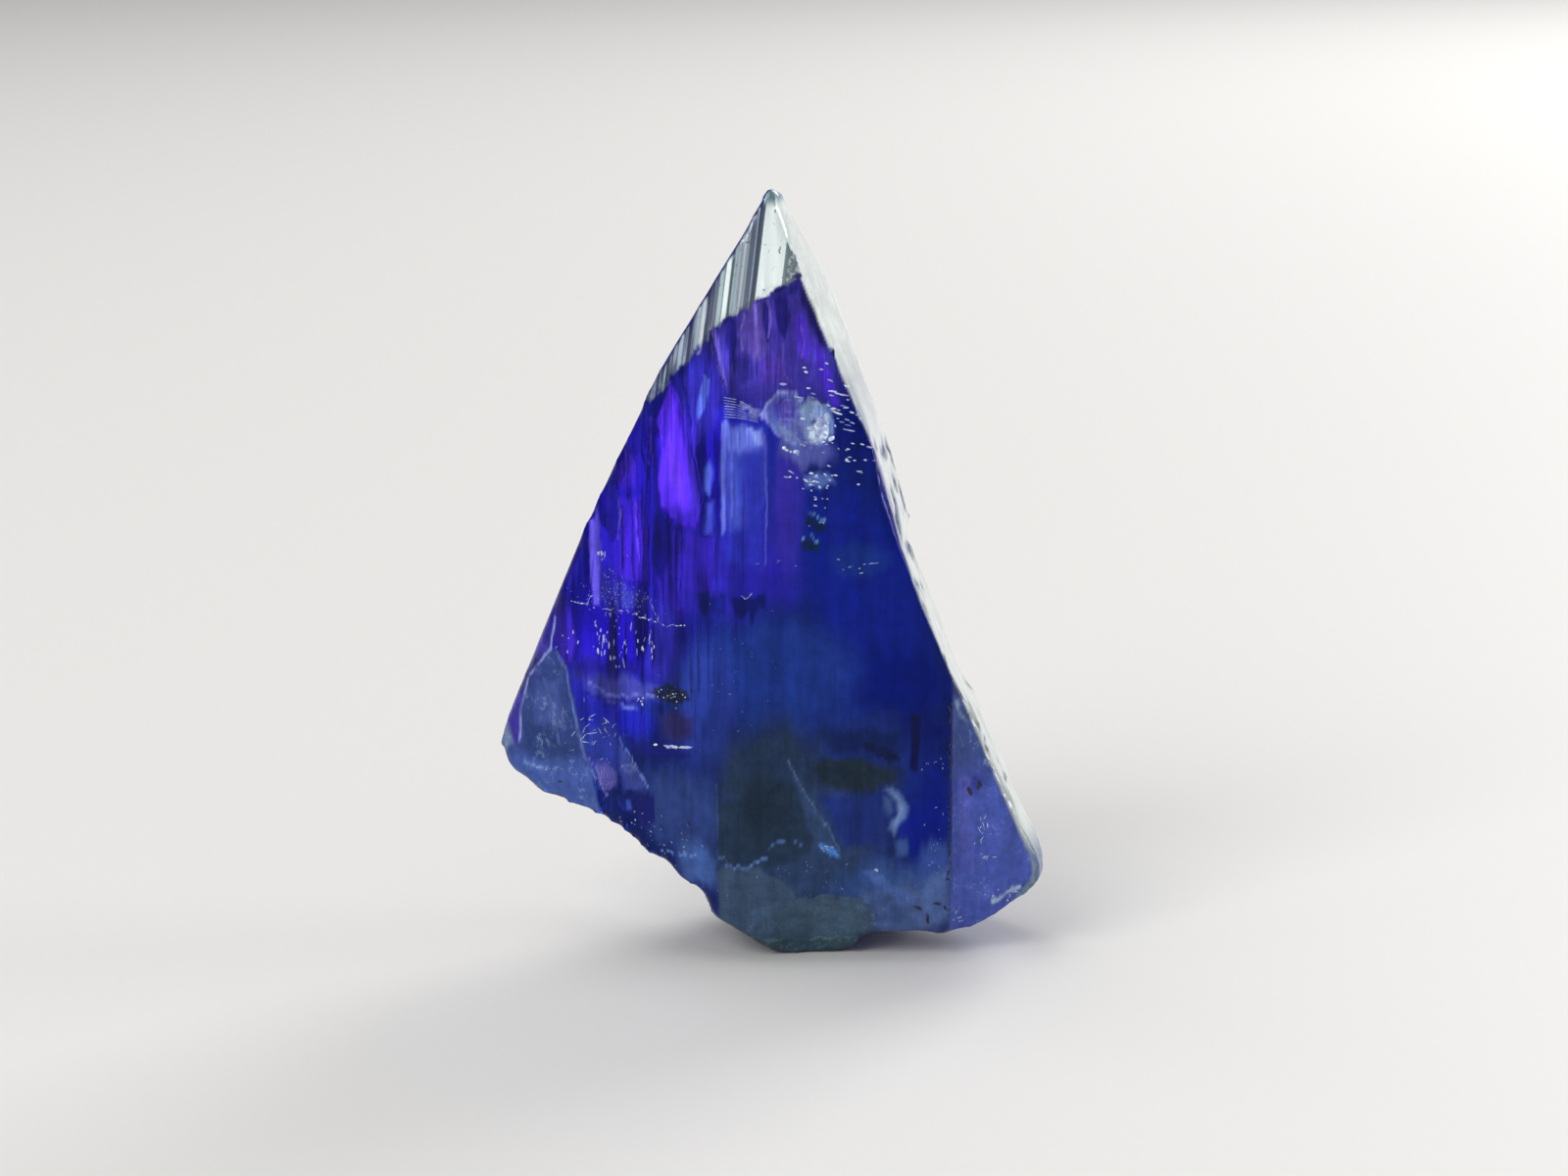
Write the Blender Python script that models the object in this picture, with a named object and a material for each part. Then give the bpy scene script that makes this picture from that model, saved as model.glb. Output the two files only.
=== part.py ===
"""Rough tanzanite: one broken shard of a striated zoisite crystal, standing on a small flat foot.

Frame: metres, +Z up along the crystal's long axis, the broken front looks along -Y, +X is to its right.
The origin is on the flat foot. Sizes below are in millimetres and become metres through MM.
"""

import math
import random

import bmesh
import bpy
from mathutils import Matrix, Vector, noise

MM = 0.001

# Driving sizes.
SKIN_Y = -5.4  # the old prism face, which is left at the front of the tip
SKIN_BEND_X = -3.4  # left of this line the front turns away
SKIN_BEND = 19.0  # degrees that it turns
BACK_Y = 5.4
EDGE_WEAR = 0.16
BLOCK_SIZE = 80.0

# Flat faces of the shard: a point on each, the compass direction that it looks in (0 is +X, 90 is
# +Y, -90 is the front) and how many degrees it leans up.
FACES = {
    "skin_front": ((0.0, SKIN_Y, 20.0), -90.0, 0.0),
    "skin_left": ((SKIN_BEND_X, SKIN_Y, 20.0), -90.0 - SKIN_BEND, 0.0),
    "right_side": ((-1.38, SKIN_Y, 35.0), -8.0, 20.8),
    "left_top": ((-2.92, SKIN_Y, 33.37), 166.0, 32.1),
    "left_high": ((-7.0, -3.46, 26.08), 166.0, 27.4),
    "left_side": ((-10.76, -2.17, 17.95), 166.0, 24.6),
    "left_strip": ((-11.41, -1.94, 16.41), 212.0, 11.1),
    "left_corner": ((-13.51, -1.22, 11.64), 184.0, 10.9),
    "left_lobe": ((-13.18, -1.48, 8.16), 184.0, -39.8),
    "tip": ((-1.5, SKIN_Y, 35.2), 40.0, 78.0),
    "back": ((2.0, BACK_Y, 10.0), 84.0, 0.0),
    "back_left": ((-4.0, BACK_Y, 10.0), 116.0, -2.0),
    "back_right": ((1.43, 0.26, 29.75), 38.0, 15.0),
    "back_top": ((-0.96, -3.1, 34.69), 97.0, 42.0),
    "under_left": ((-12.46, -1.73, 7.3), 192.0, -53.6),
    "under_foot_left": ((-1.42, -3.41, 0.12), 197.0, -55.5),
    "under_back": ((0.0, 2.4, 0.0), 84.0, -62.0),
    "under_right": ((1.46, -3.33, 0.0), -15.0, -77.5),
    "right_toe": ((7.65, -3.87, 1.24), -4.0, -54.9),
    "right_tip": ((10.35, -4.45, 3.16), -4.0, -20.8),
    "foot": ((0.0, 0.0, 0.0), 0.0, -90.0),
}

# The broken front: a sheet of low upright splinters, cut back from the skin.
FRONT_LEFT, FRONT_RIGHT, FRONT_LOW = -15.5, 12.5, -2.0
SPLINTER_WIDTHS = (0.45, 1.25)
SPLINTER_LINES = (-8.7, -4.9, -4.05, -0.7, 2.7, 6.6)  # splinters that have an edge at a seen line
SPLINTER_STEP = 0.11
FRONT_ROWS = 26
CREASE = 0.04  # half the width of the wall between two splinters
SKIN_LEDGE = 0.42
LOBE_X, LOBE_TOP = 6.6, 12.8  # the lobe at the lower right starts at this upright line
LOBE_STEP, LOBE_TURN = 0.45, 0.16
FROST_TOP, FROST_TOP_X, FROST_TURN = 14.2, -12.0, 0.30  # the hollow facet at the lower left
UNDERCUT_TOP, UNDERCUT = 6.5, 1.5  # below this height the front curves back to the foot

# Shell-shaped breaks: centre, three radii.
SCARS = {
    "left_notch": ((-11.63, -0.5, 0.13), (6.78, 11.0, 6.78)),
    "left_notch_step": ((-6.9, -1.6, 3.6), (1.18, 6.0, 1.18)),
    "left_foot_notch": ((-5.7, -2.0, 2.35), (1.38, 6.0, 1.38)),
    "foot_right": ((3.6, -2.8, -0.2), (1.42, 5.4, 1.42)),
    "right_hollow": ((5.1, -2.6, -1.3), (2.55, 6.0, 2.55)),
    "toe_notch": ((9.1, -5.2, 0.9), (0.9, 2.2, 1.1)),
    "foot_face": ((0.9, -10.5, -2.4), (8.0, 8.0, 8.0)),
    "low_left_face": ((-6.9, -11.9, 1.2), (7.2, 8.6, 7.2)),
    "low_right_face": ((4.6, -12.6, 1.0), (6.2, 8.8, 6.2)),
    "under_left_shell": ((-9.8, 6.8, -1.6), (8.0, 8.0, 8.0)),
    "under_right_shell": ((9.6, 6.0, -5.2), (8.0, 8.0, 8.0)),
    "back_low_shell": ((5.6, 14.2, 3.2), (10.0, 10.0, 10.0)),
    "back_high_shell": ((-12.8, 18.4, 19.0), (16.0, 16.0, 24.0)),
    "side_chip_high": ((4.35, -5.5, 21.9), (1.2, 1.2, 1.5)),
    "side_chip_middle": ((5.15, -5.6, 19.7), (1.1, 1.3, 0.9)),
    "side_chip_low": ((6.05, -5.6, 17.5), (1.1, 1.2, 1.2)),
    "side_chip_back": ((6.2, 1.5, 21.4), (1.9, 1.9, 2.1)),
    "tip_chip": ((-0.45, -6.55, 31.95), (1.2, 1.35, 1.3)),
}

# The right side dips in below its upper third: a point on each flat there, where it looks, how tall it is.
SIDE_DIPS = {
    "side_dip_upper": ((3.03, -4.7, 23.7), -8.0, 15.0, 4.4),
    "side_dip_lower": ((4.18, -4.7, 19.46), -2.5, 22.5, 8.0),
    "side_dip_foot": ((6.35, -4.7, 14.28), -6.0, 22.5, 11.0),
}

# Old growth lines: face, its first and last place along it, number of grooves, height of their middle.
STRIATIONS = (
    ("skin_front", -3.1, -0.9, 5, 31.0),
    ("skin_left", -0.2, -5.0, 9, 29.0),
    ("back", -4.6, 1.8, 9, 12.0),
    ("back_left", 0.6, 8.6, 10, 12.0),
)
STRIATION_LENGTH = 60.0
STRIATION_SIZES = (0.16, 0.42)
STRIATION_FLATNESS = 2.2


def clear_scene():
    for old in list(bpy.data.objects):
        bpy.data.objects.remove(old, do_unlink=True)


def new_collection(name):
    made = bpy.data.collections.new(name)
    bpy.context.scene.collection.children.link(made)
    return made


def in_metres(point):
    return Vector(point) * MM


def looking(compass, lean):
    """The unit vector that points to a compass direction and up by lean, both in degrees."""
    a, t = math.radians(compass), math.radians(lean)
    return Vector((math.cos(t) * math.cos(a), math.cos(t) * math.sin(a), math.sin(t)))


def turned_to(normal):
    """The rotation that points +X along normal and keeps +Y level."""
    across = Vector((0.0, 0.0, 1.0)).cross(normal).normalized()
    return Matrix((normal, across, normal.cross(across))).transposed().to_4x4()


def object_from(bm, name, collection):
    bmesh.ops.recalc_face_normals(bm, faces=bm.faces)
    mesh = bpy.data.meshes.new(name)
    bm.to_mesh(mesh)
    bm.free()
    made = bpy.data.objects.new(name, mesh)
    collection.objects.link(made)
    return made


def cutter_from(bm, name, cutters):
    made = object_from(bm, name, cutters)
    made.hide_render = True
    made.display_type = "WIRE"
    return made


def cut_flat(bm, point, compass, lean):
    """Cuts everything beyond one flat face away and closes the cut."""
    done = bmesh.ops.bisect_plane(
        bm,
        geom=bm.verts[:] + bm.edges[:] + bm.faces[:],
        plane_co=in_metres(point),
        plane_no=looking(compass, lean),
        clear_outer=True,
    )
    rim = [e for e in done["geom_cut"] if isinstance(e, bmesh.types.BMEdge)]
    bmesh.ops.contextual_create(bm, geom=rim)


def shard(name, collection):
    """The whole shard as a many-sided block, its edges a little worn."""
    bm = bmesh.new()
    bmesh.ops.create_cube(bm, size=BLOCK_SIZE * MM)
    for point, compass, lean in FACES.values():
        cut_flat(bm, point, compass, lean)
    bmesh.ops.bevel(
        bm,
        geom=bm.edges[:],
        offset=EDGE_WEAR * MM,
        segments=1,
        profile=0.5,
        affect="EDGES",
        clamp_overlap=True,
    )
    return object_from(bm, name, collection)


def skin_y(x):
    """Where the skin's two faces lie at x."""
    return SKIN_Y + max(0.0, SKIN_BEND_X - x) * math.tan(math.radians(SKIN_BEND))


def skin_edge(x):
    """The height of the ragged edge where the skin ends and the broken front starts."""
    left = max(0.0, -0.4 - x)
    ragged = 0.30 * noise.noise(Vector((1.1 * x, 4.0, 0.0)))
    return 31.35 - 0.36 * left - 0.066 * left**2 + 0.5 * max(0.0, x + 0.4) + ragged


def splinter_edges():
    """The upright lines between splinters, with one at each line that is plainly seen."""
    dice = random.Random(7)
    edges = [FRONT_LEFT]
    while edges[-1] < FRONT_RIGHT:
        edges.append(edges[-1] + dice.uniform(*SPLINTER_WIDTHS))
    for line in SPLINTER_LINES:
        nearest = min(range(len(edges)), key=lambda i: abs(edges[i] - line))
        edges[nearest] = line
    return edges


def front_y(column, x, z):
    """The broken front's place behind the skin, at one splinter, one x and one height."""
    step = SPLINTER_STEP * noise.cell(Vector((column + 0.5, 0.5, 1.5)))
    drift = 0.10 * noise.noise(Vector((5.3 * column, 0.0, 0.13 * z)))
    waves = 0.40 * noise.noise(Vector((0.12 * x, 3.0, 0.09 * z)))
    lobe = LOBE_STEP + LOBE_TURN * (x - LOBE_X) if x > LOBE_X and z < LOBE_TOP else 0.0
    frost_x = FROST_TOP_X + 0.26 * max(0.0, FROST_TOP - z)
    frost = FROST_TURN * max(0.0, frost_x - x) if z < FROST_TOP else 0.0
    low = max(0.0, UNDERCUT_TOP - z) / UNDERCUT_TOP
    return skin_y(x) + SKIN_LEDGE + step + drift + waves + lobe + frost + UNDERCUT * low**2


def broken_front(cutters):
    """The cutter that breaks the front: an upright sheet of splinters, thickened towards the front."""
    edges = splinter_edges()
    lines, rows = 2 * (len(edges) - 1), FRONT_ROWS
    bm = bmesh.new()
    bmesh.ops.create_grid(bm, x_segments=lines - 1, y_segments=rows - 1, size=1.0)
    for vert in bm.verts:
        line = round((vert.co.x + 1) / 2 * (lines - 1))
        row = round((1 - vert.co.y) / 2 * (rows - 1))
        column, right = divmod(line, 2)
        x = edges[column + right] + (-CREASE if right else CREASE)
        top = skin_edge(x)
        if row == 0:
            vert.co = in_metres((x, skin_y(x) - 2.5, top + 1.0))
        elif row == 1:
            vert.co = in_metres((x, skin_y(x) - 0.5, top + 0.12))
        else:
            share = (row - 2) / (rows - 3)
            z = top - 0.1 + share * (FRONT_LOW - top)
            vert.co = in_metres((x, front_y(column, x, z), z))
    front = bmesh.ops.extrude_face_region(bm, geom=bm.faces[:])
    for item in front["geom"]:
        if isinstance(item, bmesh.types.BMVert):
            item.co.y = (SKIN_Y - 8.0) * MM
    return cutter_from(bm, "broken_front", cutters)


def side_dip(name, point, compass, lean, tall, cutters):
    """A slab whose one face is the flat through point, and which reaches down from it."""
    thick, wide = 4.0, 20.0
    turn = turned_to(looking(compass, lean))
    middle = in_metres(point) + turn @ in_metres((thick / 2, 0.0, -tall / 2))
    size = Matrix.Diagonal((*in_metres((thick, wide, tall)), 1.0))
    bm = bmesh.new()
    bmesh.ops.create_cube(bm, size=1.0, matrix=Matrix.Translation(middle) @ turn @ size)
    return cutter_from(bm, name, cutters)


def scar(name, centre, radii, cutters):
    """A shell-shaped hollow."""
    place = Matrix.Translation(in_metres(centre))
    size = Matrix.Diagonal((*in_metres(radii), 1.0))
    bm = bmesh.new()
    steps = 3 + (max(radii) > 2.2) + (max(radii) > 7.0)
    bmesh.ops.create_icosphere(bm, subdivisions=steps, radius=1.0, matrix=place @ size)
    return cutter_from(bm, "scar_" + name, cutters)


def striations(face, first, last, count, height, cutters):
    """A row of upright grooves on one prism face, each a long three-sided prism laid with one edge in."""
    dice = random.Random(face)
    point, compass, lean = FACES[face]
    normal = looking(compass, lean)
    turn = turned_to(normal)
    along = turn @ Vector((0.0, 1.0, 0.0))
    for i in range(count):
        place = first + (last - first) * (i + dice.uniform(0.1, 0.9)) / count
        size = dice.uniform(*STRIATION_SIZES)
        centre = Vector((point[0], point[1], height)) + along * place
        centre += normal * size * dice.uniform(0.66, 0.82)
        flat = Matrix.Diagonal((1.0, STRIATION_FLATNESS, 1.0, 1.0))
        spin = Matrix.Rotation(math.radians(90 + dice.uniform(-16, 16)), 4, "Z")
        bm = bmesh.new()
        bmesh.ops.create_cone(
            bm,
            cap_ends=True,
            segments=3,
            radius1=size * MM,
            radius2=size * MM,
            depth=STRIATION_LENGTH * MM,
            matrix=Matrix.Translation(centre * MM) @ turn @ flat @ spin,
        )
        cutter_from(bm, f"groove_{face}_{i}", cutters)


def tanzanite_material():
    """Deep violet-blue clear crystal."""
    material = bpy.data.materials.new("tanzanite")
    material.use_nodes = True
    shader = material.node_tree.nodes["Principled BSDF"]
    shader.inputs["Base Color"].default_value = (0.035, 0.02, 0.42, 1.0)
    shader.inputs["Roughness"].default_value = 0.12
    shader.inputs["Metallic"].default_value = 0.0
    shader.inputs["IOR"].default_value = 1.7
    return material


def main():
    clear_scene()
    parts = new_collection("Rough_tanzanite")
    cutters = new_collection("Cutters")
    stone = shard("tanzanite_crystal", parts)
    broken_front(cutters)
    for name, (point, compass, lean, tall) in SIDE_DIPS.items():
        side_dip(name, point, compass, lean, tall, cutters)
    for name, (centre, radii) in SCARS.items():
        scar(name, centre, radii, cutters)
    for face, first, last, count, height in STRIATIONS:
        striations(face, first, last, count, height, cutters)
    breaks = stone.modifiers.new("breaks", "BOOLEAN")
    breaks.operation = "DIFFERENCE"
    breaks.solver = "EXACT"
    breaks.operand_type = "COLLECTION"
    breaks.collection = cutters
    stone.data.materials.append(tanzanite_material())


main()
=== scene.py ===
# %% [markdown]
# # A rough tanzanite, dressed for its picture
# The real thing is one shard of a violet-blue zoisite crystal, about 35 mm tall. Its front is a
# broken, glassy face full of fine upright fibres. A scrap of the old striped skin is left at the
# top, a bright side runs down the right, and the lower end is frosted and grey.
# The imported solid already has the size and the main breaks. This lesson gives it a finer surface,
# clear violet glass to be made of, and the small cracks and crystals that are seen inside it.

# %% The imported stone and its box
import math
import random

import bmesh
import bpy
import numpy as np
from mathutils import Matrix, Vector, noise


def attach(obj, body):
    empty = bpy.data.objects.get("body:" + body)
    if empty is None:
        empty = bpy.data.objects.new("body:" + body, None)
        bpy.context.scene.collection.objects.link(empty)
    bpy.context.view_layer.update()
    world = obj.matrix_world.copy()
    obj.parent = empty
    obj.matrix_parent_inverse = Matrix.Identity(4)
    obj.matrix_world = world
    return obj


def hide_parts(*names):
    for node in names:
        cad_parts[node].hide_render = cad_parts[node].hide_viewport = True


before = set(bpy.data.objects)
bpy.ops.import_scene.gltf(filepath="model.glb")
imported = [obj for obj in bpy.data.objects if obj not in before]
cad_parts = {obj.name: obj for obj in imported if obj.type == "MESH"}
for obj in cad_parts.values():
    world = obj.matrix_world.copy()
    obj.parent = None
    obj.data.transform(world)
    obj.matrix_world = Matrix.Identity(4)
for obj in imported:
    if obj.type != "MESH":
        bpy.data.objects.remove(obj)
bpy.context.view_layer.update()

MM = 0.001
scene = bpy.context.scene

# %% [markdown]
# ## The camera
# The picture was taken from a little above, with a long lens close by. A 100 mm lens on a 36 mm
# sensor, 12 degrees above level, gives the same view of the stone in a 4 by 3 picture.

# %% Camera
LENS, SENSOR = 100.0, 36.0  # mm
NEAREST_SEEN = 0.01
CAMERA_ABOVE = math.radians(12.0)
CAMERA_AWAY = 194.6 * MM
LOOKED_AT = Vector((-1.0, -4.0, 17.348)) * MM

camera_data = bpy.data.cameras.new("camera")
camera_data.lens = LENS
camera_data.sensor_width = SENSOR
camera_data.clip_start = NEAREST_SEEN
camera_data.dof.use_dof = False
camera = bpy.data.objects.new("camera", camera_data)
camera.location = LOOKED_AT + CAMERA_AWAY * Vector((0, -math.cos(CAMERA_ABOVE), math.sin(CAMERA_ABOVE)))
camera.rotation_euler = (math.pi / 2 - CAMERA_ABOVE, 0, 0)
scene.collection.objects.link(camera)
scene.camera = camera
print("camera stands at", [round(v, 4) for v in camera.location])

# %% [markdown]
# ## A finer skin for the solid
# The solid has few, large triangles. To carve fibres and chips into it, the surface needs small,
# even faces. A voxel remesh makes them. Fibres and growth lines run upright, so the stone is
# squeezed in height, and a little in depth, before the remesh and stretched after it: faces come
# out narrow and tall, and far fewer of them are needed.

# %% Remesh a copy of the stone
SQUEEZE = Vector((1.0, 1.6, 2.6))  # how much the stone is squeezed in x, y and z
VOXEL = 0.125 * MM
SAME_POINT = 0.001 * MM


def piece_from(bm, name):
    """A new object from a bmesh, in the scene."""
    mesh = bpy.data.meshes.new(name)
    bm.to_mesh(mesh)
    bm.free()
    piece = bpy.data.objects.new(name, mesh)
    scene.collection.objects.link(piece)
    return piece


def apply_modifiers(piece):
    """Turns the shape that the piece's modifiers give it into its plain mesh."""
    shaped = bpy.data.meshes.new_from_object(piece.evaluated_get(bpy.context.evaluated_depsgraph_get()))
    piece.modifiers.clear()
    old = piece.data
    piece.data = shaped
    bpy.data.meshes.remove(old)


bm = bmesh.new()
bm.from_mesh(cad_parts["tanzanite_crystal"].data)
bmesh.ops.remove_doubles(bm, verts=bm.verts, dist=SAME_POINT)
bmesh.ops.scale(bm, vec=[1 / s for s in SQUEEZE], verts=bm.verts)
stone = piece_from(bm, "crystal_shard")
remesh = stone.modifiers.new("even faces", "REMESH")
remesh.mode = "VOXEL"
remesh.voxel_size = VOXEL
apply_modifiers(stone)
stone.data.transform(Matrix.Diagonal((*SQUEEZE, 1)))
print("stone has", len(stone.data.polygons), "faces after the remesh")

# %% [markdown]
# A voxel remesh leaves tiny steps, like stairs. A little smoothing of every point takes them away.
# Where the surface is flat there is no edge to lose, so the points there are smoothed more. The
# fibres are finest on the front, so only its faces are divided once more. Dividing the whole stone
# would give a heavy mesh for parts that are hardly seen.

# %% Twice as fine on the front
FLAT = 0.93  # how well the faces round a point agree where the surface counts as flat
LOOKS_FRONT = -0.6  # a face looks to the front when the y of its normal is below this
STEP_PASSES, FLAT_PASSES, LAST_PASSES = 3, 12, 3


def smooth(bm, verts, passes):
    """Moves each point halfway to the middle of its neighbours, as many times as asked."""
    for _ in range(passes):
        bmesh.ops.smooth_vert(bm, verts=verts, factor=0.5, use_axis_x=True, use_axis_y=True, use_axis_z=True)


bm = bmesh.new()
bm.from_mesh(stone.data)
bm.normal_update()
smooth(bm, bm.verts, STEP_PASSES)
bm.normal_update()
flat = [vert for vert in bm.verts if min(face.normal.dot(vert.normal) for face in vert.link_faces) > FLAT]
smooth(bm, flat, FLAT_PASSES)
edges = dict.fromkeys(edge for face in bm.faces if face.normal.y < LOOKS_FRONT for edge in face.edges)
bmesh.ops.subdivide_edges(bm, edges=list(edges), cuts=1, use_grid_fill=True)
bmesh.ops.triangulate(bm, faces=[face for face in bm.faces if len(face.verts) > 4])
print("now", len(bm.faces), "faces,", sum(len(face.verts) - 2 for face in bm.faces), "triangles")

smooth(bm, bm.verts, LAST_PASSES)
bm.to_mesh(stone.data)
bm.free()
stone.data.shade_smooth()


# %% [markdown]
# ## Fibres, growth lines and chips
# Under a lens the break is a sheaf of upright fibres, the old prism faces carry straight growth
# lines, the lower end is pitted, and the right side is chipped along its length. Each is a small
# push of the surface along its own normal. The push is read from noise that is stretched the way
# the mark runs, and a mask says where on the stone that mark belongs.

# %% Read the surface
def eased(values, none, full):
    """0 where values are at the first mark, 1 at the second, smooth between."""
    t = np.clip((values - none) / (full - none), 0.0, 1.0)
    return t * t * (3.0 - 2.0 * t)


def field(points, sizes, seed):
    """Noise from -1 to 1 at each point (mm), with blobs of the given sizes in mm."""
    moved = points / np.array(sizes) + np.array((seed * 7.31, seed * 3.17, seed * 5.73))
    return np.array([noise.noise(p) for p in moved.tolist()])


def surface(piece):
    """A mesh's points in mm and its normals, as two arrays."""
    count = len(piece.data.vertices)
    points, normals = np.empty(count * 3), np.empty(count * 3)
    piece.data.vertices.foreach_get("co", points)
    piece.data.vertex_normals.foreach_get("vector", normals)
    return points.reshape(-1, 3) / MM, normals.reshape(-1, 3)


def move_points(piece, points):
    """Gives a mesh new places for its points, in mm."""
    piece.data.vertices.foreach_set("co", (points * MM).ravel())
    piece.data.update()


points, normals = surface(stone)
x, y, z = points.T
print("surface points:", len(points))

# %% [markdown]
# A mask is 1 where a kind of surface is and 0 elsewhere. The scrap of skin is a plane that bends
# back on its left, with a torn lower border. The bright side starts at a line that climbs to the
# tip. The lobe is the plain facet at the lower right. Masks are made from places and from the way
# the surface looks, and multiplied, so a border is soft without any painting by hand.

# %% Where each kind of surface is
SKIN_Y, SKIN_BEND_X, SKIN_BEND = -5.4, -3.4, math.radians(19.0)  # the plane of the skin, and its bend
SKIN_RISE, SIDE_RISE, RIM_RISE = (24.0, 26.0), (1.5, 3.5), (5.5, 7.0)  # heights over which each starts
SKIN_FADE, STRIP_FADE, RIM_FADE = (-0.25, -0.16), (-0.22, -0.08), (-0.20, -0.10)  # their borders, in mm
LOBE_X, LOBE_TOP = 6.55, 12.6  # left end and top of the plain facet at the lower right
TURNED = (0.35, 0.8)  # how far a normal points one way where its face starts and ends to count
# Height and x of the line where the bright side starts.
STRIP_EDGE = (
    (0.0, 10.0), (3.0, 10.1), (5.44, 10.05), (12.4, 7.13), (17.0, 5.20), (19.46, 4.36), (20.8, 4.03),
    (22.3, 3.62), (23.7, 3.18), (25.3, 2.48), (27.44, 1.52), (30.57, 0.24), (31.17, 0.02), (32.24, -0.45),
    (33.3, -0.78), (35.0, -1.38),
)

faces_front = eased(-normals[:, 1], *TURNED)
faces_back = eased(normals[:, 1], *TURNED)
under = eased(-normals[:, 2], 0.15, 0.5)
skin_depth = y - SKIN_Y - np.maximum(0.0, SKIN_BEND_X - x) * math.tan(SKIN_BEND)
torn = 0.10 * field(points, (0.5, 5.0, 0.5), seed=17) + 0.05 * field(points, (0.15, 5.0, 0.2), seed=18)
skin = faces_front * eased(-skin_depth - torn, *SKIN_FADE) * eased(z, *SKIN_RISE)
strip_x = np.interp(z, *zip(*STRIP_EDGE))
right_of_edge = eased(x - strip_x, *STRIP_FADE)
side = eased(normals[:, 0], 0.0, 0.2) * eased(normals[:, 1], 0.5, 0.25) * eased(z, *SIDE_RISE) * right_of_edge
rim = faces_front * eased(x - strip_x, *RIM_FADE) * (1 - side) * eased(z, *RIM_RISE)
lobe = eased(x, LOBE_X - 0.04, LOBE_X + 0.06) * eased(z, LOBE_TOP + 0.2, LOBE_TOP - 0.4) * (1 - side)
front = faces_front * (1 - skin)
off_the_floor = eased(z, 0.02, 0.35)
print("skin", round(float(skin.mean()), 3), "side", round(float(side.mean()), 3))

# %% [markdown]
# Now each mark gets its noise, its mask and its depth. Fibres are sharp grooves, so their noise is
# folded at 0, and splits are broader ones. Growth lines run the whole height. The ledges on the
# lower side are noise rounded to a few steps, as stepped breaks are. The foot stays flat, so that
# the stone still stands.

# %% Carve
# How deep each mark goes, in mm.
FIBRE, SPLIT, GROWTH, PIT, WAVE, CHIP, LEDGE = 0.022, 0.05, 0.025, 0.03, 0.12, 0.22, 0.10
STEPS = 5  # ledges for each unit of noise

fine = field(points, (0.42, 0.42, 7.0), seed=1)
split = field(points, (1.1, 1.1, 9.0), seed=2)
growth = field(points, (0.42, 0.42, 300.0), seed=3)
pitted = field(points, (0.5, 0.5, 0.5), seed=5) + 0.6 * field(points, (0.2, 0.2, 0.25), seed=6)
wave = field(points, (3.0, 3.0, 3.0), seed=7)
ledge = field(points, (1.1, 1.1, 2.6), seed=8)
nick = field(points, (0.7, 0.7, 0.9), seed=9)

low_left = eased(-x - 0.22 * (z - 10), 9.9, 10.3) * eased(z + 0.6 * (x + 12), 14.8, 14.2)
leftward = eased(-x - 0.45 * np.maximum(0, 16 - z), 1.0, 4.5)
fibrous = front * (1 - low_left) * (0.12 + 0.88 * leftward * eased(z, 8.0, 13.0) + 0.3 * eased(z, 26.0, 28.0))
chipped = side * eased(z, 24.5, 23.0) * eased(z, 16.0, 17.5)
ledged = side * eased(z, 17.0, 15.5)

push = -FIBRE * fibrous * (1 - np.abs(fine)) ** 3
push -= SPLIT * fibrous * np.abs(split)
push -= GROWTH * (faces_back + 0.8 * skin) * np.maximum(growth, 0.0)
push -= PIT * (low_left + 0.6 * under + 0.15 * front) * np.maximum(pitted, 0.0)
push -= WAVE * under * np.maximum(wave, 0.0)
push -= CHIP * chipped * np.maximum(nick, 0.0) + LEDGE * ledged * (np.round(ledge * STEPS) / STEPS + 0.5)
push *= off_the_floor
points = points + normals * push[:, None]
print("pushed in by up to", round(float(-push.min()), 3), "mm")

# %% [markdown]
# A few corners of the real stone reach a little further than those of the solid. Moving only the
# points near each corner, with a soft border, brings the outline there.

# %% Corners of the outline
LOWER_LEFT, LOWER_LEFT_REACH, LOWER_LEFT_MOVE = (-12.9, 8.7), 0.8, (-0.36, 0, -0.28)
TIP_RISE, TIP_SPREAD, TIP_X = 0.25, 0.10, -1.5  # the tip goes up, and out to both sides of its middle
LOBE_PUSH, LOBE_PUSH_Z = 0.14, 4.6  # the lobe goes out to the right, most at this height

from_corner = [(place - middle) / LOWER_LEFT_REACH for place, middle in zip((x, z), LOWER_LEFT)]
points += np.exp(-(from_corner[0] ** 2 + from_corner[1] ** 2))[:, None] * np.array(LOWER_LEFT_MOVE)
points[:, 2] += TIP_RISE * eased(z, 33.0, 35.0)
points[:, 0] += LOBE_PUSH * eased(x, 9.6, 10.5) * eased(np.abs(z - LOBE_PUSH_Z), 2.2, 0.8)
points[:, 0] += TIP_SPREAD * np.sign(x - TIP_X) * eased(z, 34.5, 34.9) * eased(np.abs(x - TIP_X), 0.0, 0.15)
move_points(stone, points)
print("outline now reaches", np.round(points.min(axis=0), 2), "to", np.round(points.max(axis=0), 2))

# %% [markdown]
# Two facets at the lower corners are plain: they broke along one plane and show neither fibres nor
# pits. Smoothing only their points takes the small bumps away and leaves their borders.

# %% Smooth the two plain facets
FACET_PASSES = 14

plain = (np.maximum(lobe, low_left) * faces_front) > 0.6
bm = bmesh.new()
bm.from_mesh(stone.data)
facets = [vert for vert, chosen in zip(bm.verts, plain) if chosen]
smooth(bm, facets, FACET_PASSES)
bm.to_mesh(stone.data)
bm.free()
points, normals = surface(stone)
x, y, z = points.T
print("smoothed", len(facets), "points")

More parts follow.
